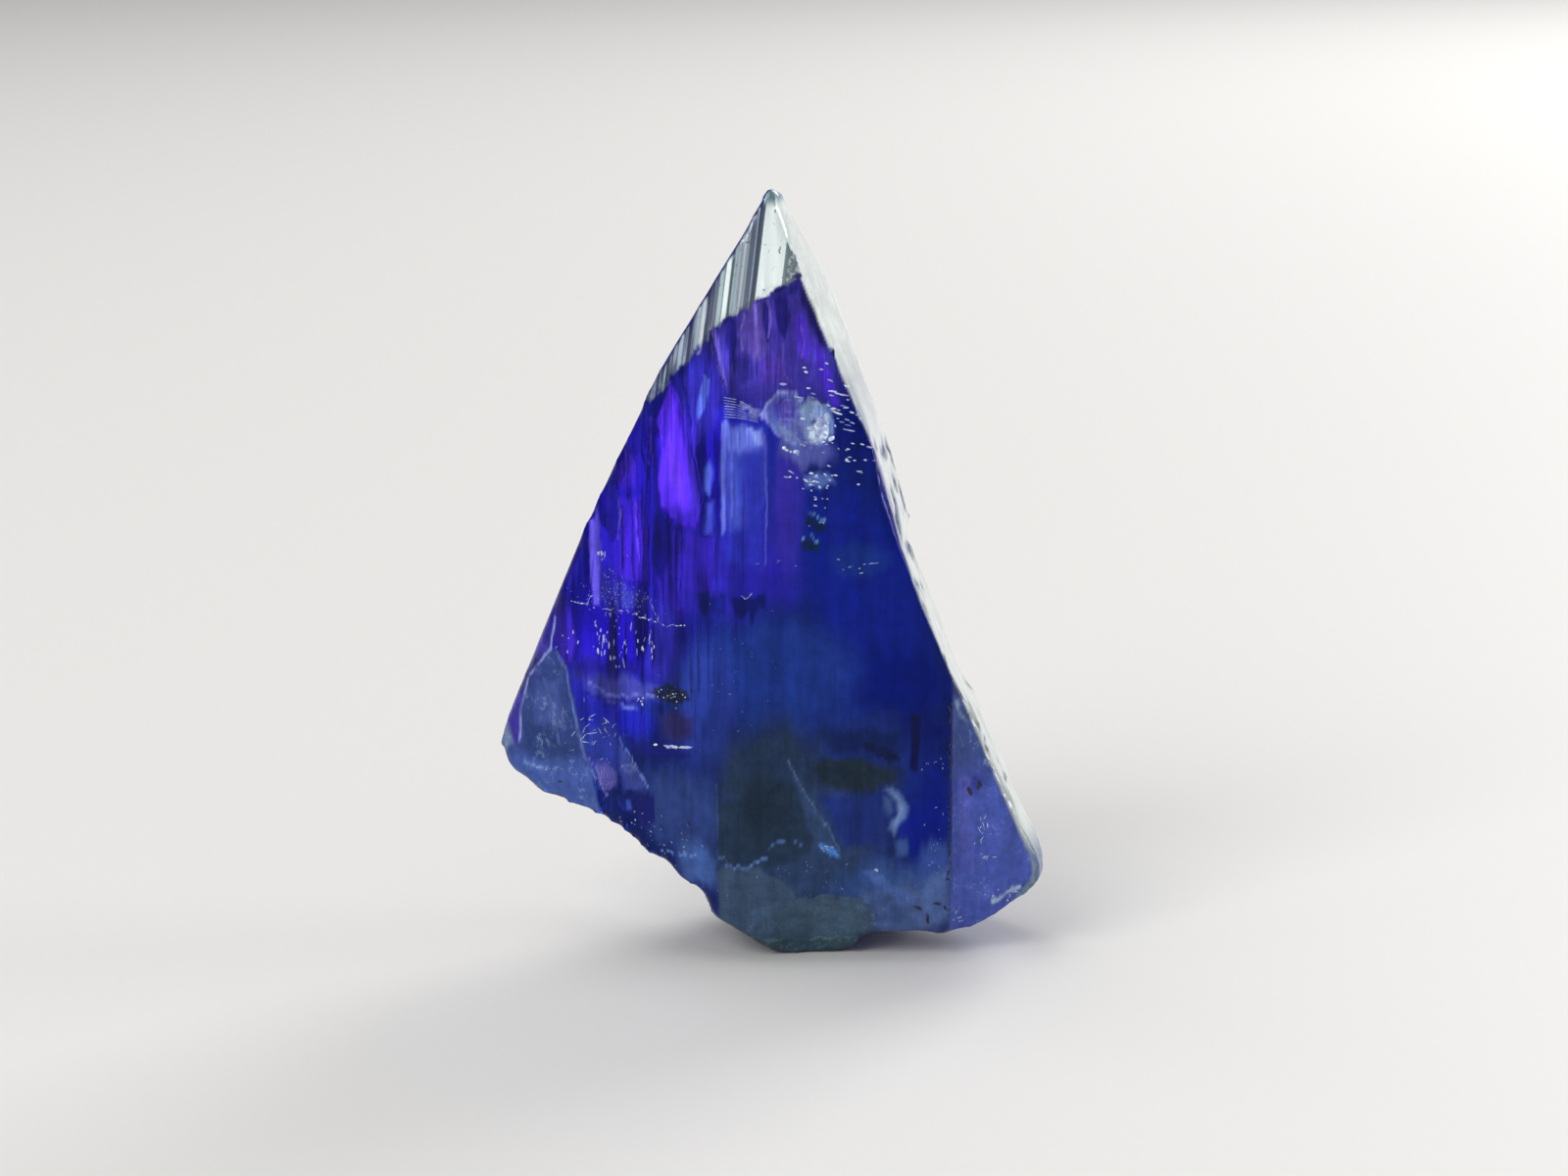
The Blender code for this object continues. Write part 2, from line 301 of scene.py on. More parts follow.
# %% [markdown]
# ## Colour zones
# The colour isn't even. It is violet on the left, deep blue on the right, and a grey-green haze
# fills the lower middle and the foot. These zones go through the whole thickness of the stone, so
# each is painted as a cloud in the plane of the front and kept as an attribute of the mesh. An
# attribute is used, and no picture, because it needs no unwrapping and keeps its place on the mesh.

# %% Clouds of colour
# The darker blue on the right and low down is partly the stone's own colour and partly painted shade, for the
# darker surroundings seen through the stone there.
BODY_COLOUR, BODY_HAZE = (24, 42, 122), 0.3
SOFT = 0.45  # how much of a cloud's reach is its faded border
# Middle x and z, reach in x and z (mm), lean in degrees, colour as seen (0 to 255), haze.
CLOUDS = {
    "violet half": ((-7.6, 19.5), (4.4, 9.5), -24, (38, 22, 174), 0.28),
    "violet under the skin": ((-1.2, 28.6), (3.6, 3.6), -15, (62, 50, 148), 0.85),
    "blue left of the fold": ((-4.7, 26.2), (1.0, 2.4), -12, (46, 38, 154), 0.75),
    "violet by the crack": ((-5.9, 17.2), (0.75, 1.5), 0, (62, 32, 196), 0.25),
    "violet left": ((-8.0, 14.8), (1.9, 1.7), 0, (28, 5, 160), 0.14),
    "violet middle": ((-3.2, 18.0), (3.4, 2.2), 0, (44, 36, 158), 0.50),
    "violet stripe": ((-0.8, 21.4), (0.9, 3.4), 0, (58, 46, 154), 0.60),
    "deep right": ((2.6, 17.5), (2.8, 6.0), 18, (12, 32, 132), 0.70),
    "blue at the row": ((2.3, 18.9), (1.4, 0.9), 0, (26, 54, 140), 0.60),
    "deep low right": ((3.0, 13.1), (3.9, 1.9), 0, (0, 20, 108), 0.80),
    "dark band": ((4.2, 11.0), (2.9, 0.85), 0, (8, 22, 92), 0.75),
    "royal blue": ((5.3, 7.4), (1.3, 3.3), 0, (4, 24, 122), 0.78),
    "blue behind the oval": ((2.0, 9.4), (3.6, 2.8), 0, (22, 42, 106), 0.88),
    "dark haze": ((2.4, 10.6), (2.1, 0.6), -4, (14, 30, 78), 0.88),
    "hazy middle": ((-1.2, 13.5), (3.8, 3.0), 0, (26, 52, 126), 0.80),
    "blue middle left": ((-4.6, 12.0), (1.6, 3.4), 0, (36, 54, 132), 0.70),
    "grey column haze": ((-1.6, 8.4), (2.9, 3.4), -8, (33, 49, 72), 0.93),
    "grey low": ((-0.6, 5.4), (4.6, 3.6), 0, (44, 62, 92), 0.92),
    "grey band on the left": ((-8.2, 12.6), (2.4, 0.6), -4, (54, 56, 130), 0.75),
    "blue corner": ((-8.5, 10.9), (1.9, 1.0), 0, (30, 30, 170), 0.45),
    "hazy low left": ((-9.4, 9.6), (1.2, 1.5), 0, (44, 58, 150), 0.75),
    "low left": ((-5.6, 7.0), (2.0, 2.6), 30, (42, 60, 112), 0.88),
    "pale low left": ((-4.9, 4.6), (0.9, 1.5), 28, (62, 88, 142), 0.88),
    "low right": ((4.0, 3.2), (3.2, 1.9), 0, (52, 76, 126), 0.92),
    "grey blue low right": ((4.4, 2.3), (2.4, 1.7), 0, (74, 92, 134), 0.92),
    "oval shade": ((2.3, 8.95), (2.2, 0.85), 0, (30, 42, 62), 0.93),
    "violet in the veil": ((-0.9, 25.0), (0.6, 0.9), 0, (84, 70, 160), 0.70),
    "under the veil": ((-0.1, 23.7), (1.3, 0.75), 0, (88, 92, 160), 0.80),
    "left veil": ((-8.5, 16.8), (1.4, 0.7), -10, (56, 58, 160), 0.55),
    "dark left": ((-10.2, 16.2), (1.3, 2.6), 0, (20, 8, 124), 0.40),
    "blue right of the glints": ((-6.4, 14.8), (0.9, 2.2), 0, (50, 44, 172), 0.45),
    "hazy blue by the lobe": ((5.9, 4.6), (1.0, 1.3), 0, (52, 74, 138), 0.90),
}


def seen(colour):
    """A colour as seen, 0 to 255 a channel, as the light it stands for."""
    return np.array([(c / 255 / 12.92) if c < 10 else ((c / 255 + 0.055) / 1.055) ** 2.4 for c in colour])


hue = np.tile(seen(BODY_COLOUR), (len(points), 1))
haze = np.full(len(points), BODY_HAZE)


def paint(cover, colour, cloudiness):
    """Lays a colour and a haze over the stone where cover is above 0."""
    hue[:] += (seen(colour) - hue) * cover[:, None]
    haze[:] += (cloudiness - haze) * cover


warp_x = 0.28 * field(points, (0.9, 3.0, 2.2), seed=11) + 0.10 * field(points, (0.3, 2.0, 1.0), seed=12)
warp_z = 0.45 * field(points, (0.5, 3.0, 2.0), seed=13) + 0.2 * field(points, (0.2, 2.0, 1.0), seed=14)
for (cx, cz), (rx, rz), lean, colour, cloudiness in CLOUDS.values():
    turn = math.radians(lean)
    across = (x + warp_x - cx) * math.cos(turn) + (z + warp_z - cz) * math.sin(turn)
    along = (z + warp_z - cz) * math.cos(turn) - (x + warp_x - cx) * math.sin(turn)
    paint(1 - eased(np.hypot(across / rx, along / rz), 1 - SOFT, 1 + SOFT / 2), colour, cloudiness)
print(len(CLOUDS), "clouds; mean haze", round(float(haze.mean()), 2))

# %% [markdown]
# The two plain facets are rubbed and full of fine scratches, so they look greyer and paler than
# the clear parts. Each is painted as a whole, and a few soft patches change its tone.

# %% Colours of the plain facets
LOBE_DARK = (7.3, 8.4)  # middle of the darker patch on the lobe

frosted = eased(low_left * front, 0.2, 0.8)
from_dark = np.hypot(x - LOBE_DARK[0], (z - LOBE_DARK[1]) * 1.4)
for cover, colour, cloudiness in (
    (lobe, (72, 86, 158), 0.92),
    (lobe * eased(z, 8.0, 10.0), (62, 76, 128), 0.92),
    (lobe * eased(from_dark, 1.0, 0.3), (56, 64, 142), 0.92),
    (frosted, (48, 64, 118), 0.92),
    (frosted * eased(z, 9.4, 8.4), (66, 88, 150), 0.80),
):
    paint(cover, colour, cloudiness)
print("frosted part of the points:", round(float(frosted.mean()), 3))

# %% [markdown]
# Cracks and folds close to the front give the colour crisp borders. Each is a shape with corners in
# the plane of the front. Places are shaken by noise before they are compared with it, so no border
# runs straight as if drawn. A crisp shape is also a shallow dent, so its border catches the light.

# %% Crisp patches
CRISP, HALF, HAZY, MISTY = 0.05, 0.13, 0.3, 0.8  # width of a border in mm
PATCH_DENT = 0.02
# Border, colour as seen, haze, corners x and z in mm.
SHAPES = {
    "spindle": (CRISP, (98, 48, 244), 0.55, (-6.05, 26.7), (-5.42, 25.4), (-5.3, 23.5), (-4.78, 21.2),
        (-4.9, 20.2), (-5.93, 20.5), (-6.45, 21.1), (-6.64, 22.4), (-6.45, 23.5), (-6.64, 25.0)),
    "spindle's right lobe": (HALF, (78, 48, 212), 0.55, (-5.25, 25.3), (-5.0, 24.6), (-4.95, 23.2),
        (-4.7, 21.4), (-4.75, 20.6), (-5.2, 20.6), (-5.3, 22.6)),
    "spindle shade": (HALF, (66, 34, 196), 0.55, (-5.95, 26.5), (-5.45, 25.3), (-5.35, 23.8), (-5.55, 24.4),
        (-5.85, 25.6)),
    "spindle core": (HALF, (116, 62, 255), 0.50, (-6.0, 24.8), (-5.75, 23.6), (-5.45, 21.6), (-5.75, 21.2),
        (-6.1, 22.6), (-6.2, 24.0)),
    "spindle streak": (CRISP, (62, 32, 190), 0.55, (-6.35, 25.6), (-6.25, 25.4), (-6.3, 23.6),
        (-6.45, 23.8)),
    "spindle foot": (HAZY, (66, 36, 190), 0.50, (-5.9, 21.0), (-4.9, 21.0), (-4.9, 20.1), (-5.9, 20.4)),
    "dark slit by the spindle": (CRISP, (18, 14, 112), 0.60, (-6.85, 23.4), (-6.68, 23.1), (-6.5, 21.0),
        (-6.1, 20.2), (-6.1, 18.6), (-6.6, 17.8), (-6.95, 18.4), (-6.8, 20.4)),
    "light strip on the left": (HALF, (78, 38, 214), 0.35, (-8.0, 23.6), (-7.6, 23.0), (-7.65, 21.9),
        (-8.3, 21.8), (-8.45, 22.4)),
    "light strips below": (HALF, (72, 34, 212), 0.30, (-8.3, 21.2), (-7.5, 21.5), (-7.1, 20.0),
        (-7.1, 17.6), (-8.5, 17.7), (-8.6, 19.6)),
    "dark flame": (CRISP, (18, 12, 118), 0.55, (-8.95, 21.9), (-8.45, 21.6), (-8.4, 20.0), (-8.65, 19.2),
        (-9.0, 19.9), (-9.1, 21.0)),
    "lavender strip": (CRISP, (84, 70, 182), 0.80, (-9.75, 20.6), (-9.35, 20.9), (-9.2, 19.0), (-9.3, 16.4),
        (-9.6, 16.4), (-9.8, 18.4)),
    "dark blade": (CRISP, (16, 10, 128), 0.65, (-10.75, 18.7), (-10.2, 19.1), (-9.75, 18.6), (-9.7, 16.6),
        (-10.6, 16.5), (-11.0, 17.4)),
    "dark strip far left": (CRISP, (20, 14, 128), 0.60, (-10.9, 16.3), (-10.5, 16.3), (-10.3, 14.6),
        (-10.4, 13.6), (-10.8, 13.9)),
    "dark slits low": (CRISP, (20, 12, 120), 0.55, (-9.45, 16.0), (-9.3, 16.0), (-9.2, 14.2), (-9.35, 13.5),
        (-9.5, 14.6)),
    "dark slit low right": (CRISP, (20, 12, 120), 0.55, (-7.0, 15.8), (-6.85, 15.8), (-6.8, 14.2),
        (-6.95, 13.6)),
    "violet edge": (HALF, (66, 40, 184), 0.40, (-11.5, 16.2), (-10.8, 16.6), (-10.4, 14.6), (-10.6, 13.6),
        (-11.0, 13.6), (-11.7, 15.0)),
    "blue stroke high": (CRISP, (92, 112, 222), 0.60, (-4.5, 27.1), (-4.25, 26.9), (-4.5, 25.7),
        (-4.9, 25.0), (-4.85, 25.8)),
    "blue stroke low": (HALF, (92, 112, 222), 0.60, (-4.35, 23.3), (-4.15, 22.8), (-4.3, 21.7),
        (-4.6, 21.9), (-4.6, 22.8)),
    "blue stroke lower": (HALF, (70, 80, 200), 0.50, (-4.5, 21.4), (-4.1, 21.4), (-4.2, 19.2),
        (-4.5, 19.4)),
    "slab low": (HAZY, (42, 46, 160), 0.65, (-3.7, 20.8), (-1.8, 20.8), (-1.8, 18.4), (-3.7, 18.6)),
    "slab": (HALF, (56, 66, 160), 0.60, (-3.75, 25.1), (-1.9, 24.7), (-1.75, 23.6), (-1.8, 21.5),
        (-2.2, 20.6), (-3.0, 20.2), (-3.75, 20.8)),
    # The light top of the slab and its lighter corner are painted highlights.
    "slab top highlight": (HAZY, (112, 128, 214), 0.65, (-3.6, 24.9), (-2.1, 24.6), (-2.0, 24.0), (-2.9, 23.5),
        (-3.5, 23.8)),
    "slab corner highlight": (HALF, (150, 168, 226), 0.65, (-2.6, 24.75), (-2.05, 24.6), (-1.95, 24.0),
        (-2.3, 24.1)),
    "slab blue": (HAZY, (74, 92, 190), 0.60, (-3.5, 23.4), (-2.9, 23.4), (-2.9, 20.4), (-3.4, 20.2)),
    "slab shade": (HAZY, (44, 50, 152), 0.65, (-2.8, 23.4), (-2.0, 23.4), (-1.95, 20.4), (-2.7, 20.0)),
    "slab left stripe": (CRISP, (100, 112, 192), 0.65, (-3.8, 25.0), (-3.58, 25.0), (-3.6, 20.1),
        (-3.78, 19.8)),
    "violet block": (HALF, (56, 34, 176), 0.45, (-6.0, 20.1), (-4.1, 19.9), (-4.1, 17.4), (-5.3, 17.3),
        (-6.0, 17.8)),
    "dark stripes": (CRISP, (18, 24, 108), 0.70, (-4.85, 17.3), (-4.3, 17.4), (-4.2, 17.1), (-3.65, 17.2),
        (-3.6, 16.4), (-4.0, 16.1), (-4.2, 16.5), (-4.5, 16.2), (-4.8, 16.5)),
    "dark stripes right": (CRISP, (14, 22, 92), 0.75, (-3.4, 17.2), (-1.8, 17.3), (-1.75, 16.4),
        (-2.1, 16.7), (-2.4, 15.9), (-2.6, 16.5), (-2.9, 16.1), (-3.2, 16.6)),
    "fold": (CRISP, (94, 80, 168), 0.80, (-4.25, 29.4), (-4.0, 29.1), (-3.75, 27.9), (-3.45, 26.3),
        (-3.6, 26.4), (-3.95, 27.6), (-4.2, 28.4)),
    "grey violet folds": (HALF, (78, 62, 146), 0.85, (-3.0, 30.1), (-2.2, 30.5), (-1.6, 29.8), (-1.7, 28.0),
        (-2.4, 27.6), (-2.9, 28.6)),
    "pale fold line": (CRISP, (104, 84, 168), 0.85, (-2.35, 30.4), (-2.2, 30.3), (-2.1, 28.2),
        (-2.3, 28.0)),
    "dark fold": (CRISP, (34, 26, 110), 0.80, (-1.5, 30.6), (-0.9, 30.9), (-0.7, 29.6), (-1.0, 28.6),
        (-1.3, 29.2)),
    "light fold": (HALF, (86, 50, 204), 0.75, (-0.5, 29.8), (-0.2, 29.9), (0.15, 28.4), (0.0, 27.8),
        (-0.4, 28.3)),
    "dark notch": (CRISP, (30, 26, 106), 0.85, (-1.9, 30.4), (-1.6, 30.4), (-1.55, 28.9), (-1.75, 28.4),
        (-1.9, 29.2)),
    "dark low fold": (HALF, (44, 38, 124), 0.85, (-3.2, 27.9), (-2.5, 28.0), (-2.4, 26.9), (-3.0, 26.8)),
    "violet low fold": (HALF, (72, 50, 150), 0.85, (-2.2, 27.8), (-1.0, 28.0), (-0.8, 26.9), (-2.0, 26.7)),
    "violet edge by the strip": (HALF, (70, 40, 176), 0.80, (0.3, 28.6), (0.7, 28.2), (1.5, 25.8),
        (1.1, 25.6), (0.5, 27.2)),
    "dark by the strip": (HALF, (26, 20, 80), 0.85, (-0.4, 31.4), (0.0, 31.2), (0.9, 28.4), (0.6, 28.4),
        (-0.2, 30.2)),
    "dark fold left": (CRISP, (32, 26, 116), 0.80, (-3.6, 29.6), (-3.2, 29.8), (-3.0, 28.6), (-3.3, 27.4),
        (-3.5, 28.2)),
    "dark below the skin": (HALF, (40, 34, 122), 0.80, (-2.0, 30.9), (-0.6, 31.2), (-0.2, 31.5),
        (0.0, 30.9), (-0.6, 30.7), (-1.4, 30.6)),
    "veil head": (CRISP, (84, 92, 164), 0.85, (-1.65, 26.0), (-1.2, 26.45), (-0.5, 26.3), (-0.1, 25.6),
        (0.9, 25.9), (1.2, 25.0), (1.0, 24.1), (0.2, 23.9), (-0.8, 24.1), (-1.4, 24.5), (-2.0, 25.2)),
    "veil violet": (HALF, (70, 56, 154), 0.85, (-1.5, 25.8), (-1.1, 26.1), (-0.6, 26.0), (-0.45, 25.5),
        (-0.8, 24.9), (-1.3, 25.1)),
    "veil grey green": (HALF, (118, 142, 168), 0.90, (-0.3, 25.6), (0.1, 26.0), (0.9, 25.8), (0.5, 25.3),
        (-0.2, 25.1)),
    "veil foot": (HALF, (92, 110, 162), 0.88, (-1.6, 24.9), (-1.2, 25.0), (-0.5, 24.4), (0.1, 24.0),
        (-0.7, 23.95), (-1.3, 24.4)),
    "veil light": (HALF, (120, 148, 194), 0.88, (0.0, 25.4), (0.5, 25.8), (1.1, 25.3), (1.15, 24.4),
        (0.5, 24.0), (-0.1, 24.5)),
    "gap in the light": (CRISP, (24, 40, 112), 0.85, (0.15, 25.1), (0.35, 25.2), (0.45, 24.9),
        (0.25, 24.7)),
    "second gap": (CRISP, (26, 44, 116), 0.85, (0.75, 24.5), (0.95, 24.7), (1.05, 24.4), (0.85, 24.2)),
    "bright flake": (CRISP, (236, 250, 250), 0.95, (0.15, 24.75), (0.42, 24.98), (0.55, 24.72),
        (0.88, 24.86), (0.98, 24.5), (0.82, 24.22), (0.55, 24.42), (0.3, 24.12), (0.08, 24.4)),
    "high flake": (CRISP, (214, 236, 240), 0.92, (0.62, 25.42), (0.95, 25.36), (1.04, 25.05), (0.84, 25.0),
        (0.74, 25.2)),
    "slit in the flake": (CRISP, (90, 120, 172), 0.90, (0.2, 24.6), (0.5, 24.7), (0.8, 24.6), (0.5, 24.62)),
    "veil low light": (HALF, (92, 118, 184), 0.80, (-0.1, 22.7), (0.8, 22.8), (1.3, 22.4), (0.6, 22.1),
        (0.0, 22.2)),
    "dark box": (CRISP, (10, 34, 64), 0.90, (0.0, 20.75), (0.75, 20.6), (0.8, 20.2), (0.35, 20.1),
        (0.25, 20.35), (-0.05, 20.3)),
    "dark box low": (CRISP, (10, 36, 60), 0.90, (-0.2, 19.75), (0.5, 19.6), (0.55, 19.3), (0.1, 19.2),
        (-0.2, 19.4)),
    "dark specked patch": (CRISP, (20, 30, 56), 0.85, (-6.9, 12.7), (-6.3, 12.95), (-5.4, 12.8),
        (-5.2, 12.3), (-5.9, 12.05), (-6.8, 12.2)),
    "brown patch": (HAZY, (38, 34, 82), 0.94, (-6.6, 11.5), (-5.9, 11.8), (-5.0, 11.4), (-5.2, 10.6),
        (-5.9, 10.3), (-6.5, 10.5)),
    "shade by the dash": (HALF, (22, 26, 104), 0.75, (-8.2, 10.2), (-6.6, 10.1), (-5.2, 9.95), (-5.2, 9.7),
        (-6.8, 9.5), (-8.1, 9.8)),
    "glassy round": (HALF, (60, 72, 142), 0.75, (-8.4, 9.8), (-7.9, 9.4), (-7.5, 8.8), (-7.2, 8.0),
        (-8.2, 7.9), (-8.45, 8.8)),
    "pink patch": (HALF, (82, 76, 146), 0.92, (-9.6, 8.9), (-9.0, 9.0), (-8.6, 8.6), (-8.6, 8.0),
        (-9.1, 7.7), (-9.4, 8.1)),
    "dark low left": (CRISP, (20, 26, 94), 0.85, (-8.7, 7.6), (-7.6, 7.7), (-6.9, 7.8), (-6.8, 6.5),
        (-7.2, 6.1), (-8.2, 6.9)),
    "light streaks low left": (CRISP, (60, 84, 170), 0.75, (-8.15, 7.4), (-7.95, 7.4), (-7.95, 6.8),
        (-8.15, 6.9)),
    "grey column": (HALF, (35, 51, 70), 0.95, (-3.98, 7.6), (-2.6, 7.9), (-1.0, 8.6), (-0.3, 8.6),
        (0.2, 7.6), (0.5, 6.9), (0.2, 5.2), (-1.6, 4.6), (-3.95, 4.65)),
    "dark in the column": (MISTY, (28, 42, 56), 0.95, (-3.0, 8.6), (-1.8, 9.2), (-0.6, 8.2), (-0.6, 6.2),
        (-2.2, 5.8), (-3.0, 6.8)),
    "pale plane by the ridge": (HALF, (48, 68, 98), 0.92, (-0.5, 8.8), (0.1, 7.8), (1.2, 6.2), (1.5, 5.5),
        (0.6, 5.7), (0.1, 6.4)),
    "blue behind the curl": (HAZY, (28, 46, 110), 0.80, (0.6, 8.0), (3.2, 8.0), (3.4, 5.8), (1.6, 5.7)),
    "oval": (HALF, (28, 41, 52), 0.95, (0.3, 9.2), (0.8, 9.75), (2.0, 9.85), (3.0, 9.5), (4.0, 8.9),
        (3.9, 8.65), (3.0, 8.55), (2.0, 8.3), (0.9, 8.4)),
    "shade in the oval": (HAZY, (22, 34, 46), 0.95, (0.6, 9.2), (1.4, 9.4), (2.0, 9.0), (1.2, 8.6)),
    "wedge": (CRISP, (12, 24, 62), 0.90, (2.5, 10.4), (3.1, 10.5), (4.25, 9.9), (4.2, 9.65), (3.7, 9.6),
        (3.0, 10.0)),
    "bar": (CRISP, (8, 16, 64), 0.90, (4.75, 11.8), (5.15, 11.75), (5.1, 10.4), (5.0, 9.2), (4.7, 9.3),
        (4.75, 10.6)),
    "curl": (HALF, (92, 116, 160), 0.90, (3.5, 8.25), (3.9, 8.45), (4.3, 8.1), (4.6, 7.5), (4.5, 6.9),
        (4.15, 6.6), (3.95, 6.15), (3.7, 6.4), (3.85, 6.95), (4.15, 7.2), (4.05, 7.7), (3.8, 8.05)),
    "curl light": (HALF, (128, 150, 184), 0.90, (3.9, 8.15), (4.2, 7.9), (4.35, 7.4), (4.2, 7.0),
        (3.95, 6.6), (4.05, 6.9), (4.25, 7.3), (4.15, 7.8)),
    "in the curl": (HALF, (60, 80, 124), 0.90, (3.5, 8.0), (3.8, 7.9), (3.95, 7.4), (3.7, 7.0), (3.5, 7.4)),
    "below the curl": (HALF, (56, 80, 132), 0.85, (4.0, 6.0), (4.6, 5.9), (4.6, 5.2), (4.0, 5.1)),
    "blue triangle": (CRISP, (72, 124, 190), 0.90, (0.6, 5.75), (1.2, 5.6), (1.6, 5.2), (1.1, 5.3),
        (0.7, 5.45)),
    "low facet": (HALF, (62, 82, 124), 0.95, (2.9, 3.3), (3.9, 3.3), (4.5, 2.4), (4.3, 1.8), (3.0, 1.8)),
    "pale band low": (HALF, (72, 96, 150), 0.95, (2.6, 4.4), (3.1, 4.5), (5.0, 2.9), (4.9, 2.5),
        (4.2, 2.9)),
    "pale low right": (HAZY, (80, 102, 150), 0.95, (5.2, 3.9), (6.4, 4.6), (6.45, 2.0), (5.4, 2.2)),
    "foot": (HALF, (60, 78, 98), 0.96, (-4.0, 4.5), (-2.5, 4.7), (-1.0, 4.0), (-0.4, 3.0), (1.0, 3.3),
        (2.6, 3.2), (3.1, 2.0), (3.0, -1.0), (-4.0, -1.0)),
    "foot dome": (HALF, (66, 86, 102), 0.96, (-2.0, 2.5), (-0.4, 2.85), (1.0, 3.1), (2.2, 2.9), (2.9, 2.3),
        (2.7, 1.2), (1.6, 0.8), (-1.0, 0.9)),
    "violet strip by the facet": (CRISP, (70, 56, 164), 0.60, (-11.9, 15.4), (-11.55, 15.0), (-11.65, 14.1),
        (-12.65, 12.7), (-13.1, 11.0), (-13.15, 9.5), (-14.6, 9.0), (-14.6, 12.0), (-12.6, 15.0)),
    "dark in the strip": (HALF, (34, 30, 116), 0.60, (-12.1, 14.0), (-12.0, 13.6), (-13.1, 11.6),
        (-13.4, 11.8)),
    "pale rim of the strip": (HALF, (104, 120, 146), 0.85, (-13.3, 12.4), (-13.2, 12.0), (-13.75, 10.6),
        (-13.35, 9.4), (-13.9, 8.8), (-14.6, 10.5)),
    "facet haze": (HAZY, (64, 80, 136), 0.90, (-12.2, 12.4), (-11.2, 12.6), (-11.0, 10.5), (-12.4, 10.2)),
    "facet shade": (HAZY, (40, 58, 106), 0.90, (-12.9, 10.2), (-11.4, 10.6), (-10.7, 9.0), (-12.6, 8.8)),
    "foot rim": (HALF, (56, 76, 84), 0.96, (-3.0, 1.0), (-0.5, 0.75), (2.3, 0.9), (2.6, -1.0),
        (-3.0, -1.0)),
}


def distance(x, z, path):
    """How far each place is from a line through the places of a path (mm)."""
    nearest = np.full(len(x), np.inf)
    for (x0, z0), (x1, z1) in zip(path, path[1:]):
        run, rise = x1 - x0, z1 - z0
        share = np.clip(((x - x0) * run + (z - z0) * rise) / (run**2 + rise**2), 0, 1)
        nearest = np.minimum(nearest, np.hypot(x - x0 - share * run, z - z0 - share * rise))
    return nearest


def inside(x, z, corners):
    """True for the places inside a shape with these corners."""
    within = np.zeros(len(x), bool)
    for (x0, z0), (x1, z1) in zip(corners, (*corners[1:], corners[0])):
        if z0 != z1:
            within ^= ((z0 > z) != (z1 > z)) & (x < x0 + (x1 - x0) * (z - z0) / (z1 - z0))
    return within


near_front = eased(-normals[:, 1], -0.1, 0.3)
ragged = 0.05 * field(points, (0.22, 2.0, 0.5), seed=16)
wobble_x, wobble_z = x + 0.25 * warp_x + ragged, z + 0.35 * warp_z + 2 * ragged
dents = np.zeros(len(points))
for border, colour, cloudiness, *corners in SHAPES.values():
    depth = distance(wobble_x, wobble_z, (*corners, corners[0]))
    depth = np.where(inside(wobble_x, wobble_z, corners), depth, -depth)
    cover = near_front * eased(depth, -border, border)
    paint(cover, colour, cloudiness)
    if border <= HALF:
        dents += PATCH_DENT * cover
print(len(SHAPES), "patches")

# %% [markdown]
# The bright side is painted nearly white along the tip, a painted reflection of the lights it faces, and greyer
# near the foot and in its chips. A thin dark rim of painted shade parts it from the front. The left edge is
# painted the deepest violet, a painted shade for the light that crosses the most stone there.

# %% Side, rim and left edge
left_edge = eased(-normals[:, 0], 0.3, 0.6) * eased(z, 14.0, 17.0) * (1 - skin)
for cover, colour, cloudiness in (
    # painted shade: the left edge is painted a darker violet
    (left_edge, (26, 18, 124), 0.55),
    # painted reflection: the side is painted near-white, brightest towards the tip
    (side, (226, 229, 213), 0.6),
    (side * eased(z, 25.0, 29.0), (250, 250, 234), 0.85),
    (side * eased(z, 6.3, 4.6), (100, 116, 140), 0.85),
    (side * eased(z, 34.6, 35.0), (150, 172, 176), 0.85),
    (side * chipped * eased(nick, 0.05, 0.35), (112, 122, 150), 0.70),
    # painted shade: a dark rim between the side and the front
    (0.9 * rim, (10, 12, 40), 0.85),
):
    paint(cover, colour, cloudiness)
print("mean haze with the side:", round(float(haze.mean()), 2))

# %% [markdown]
# The thinnest marks are lines: rims of cracks, edges of facets and slits between fibres. The pale lines on the
# crests of the folds and along the edges of the facets and the lobe are painted highlights, where those edges
# catch the light. Each runs through a few places, is broken up by noise and makes a shallow groove. The bright
# side has a few dark hairlines of its own.

# %% Lines
LINE_DENT = 0.03
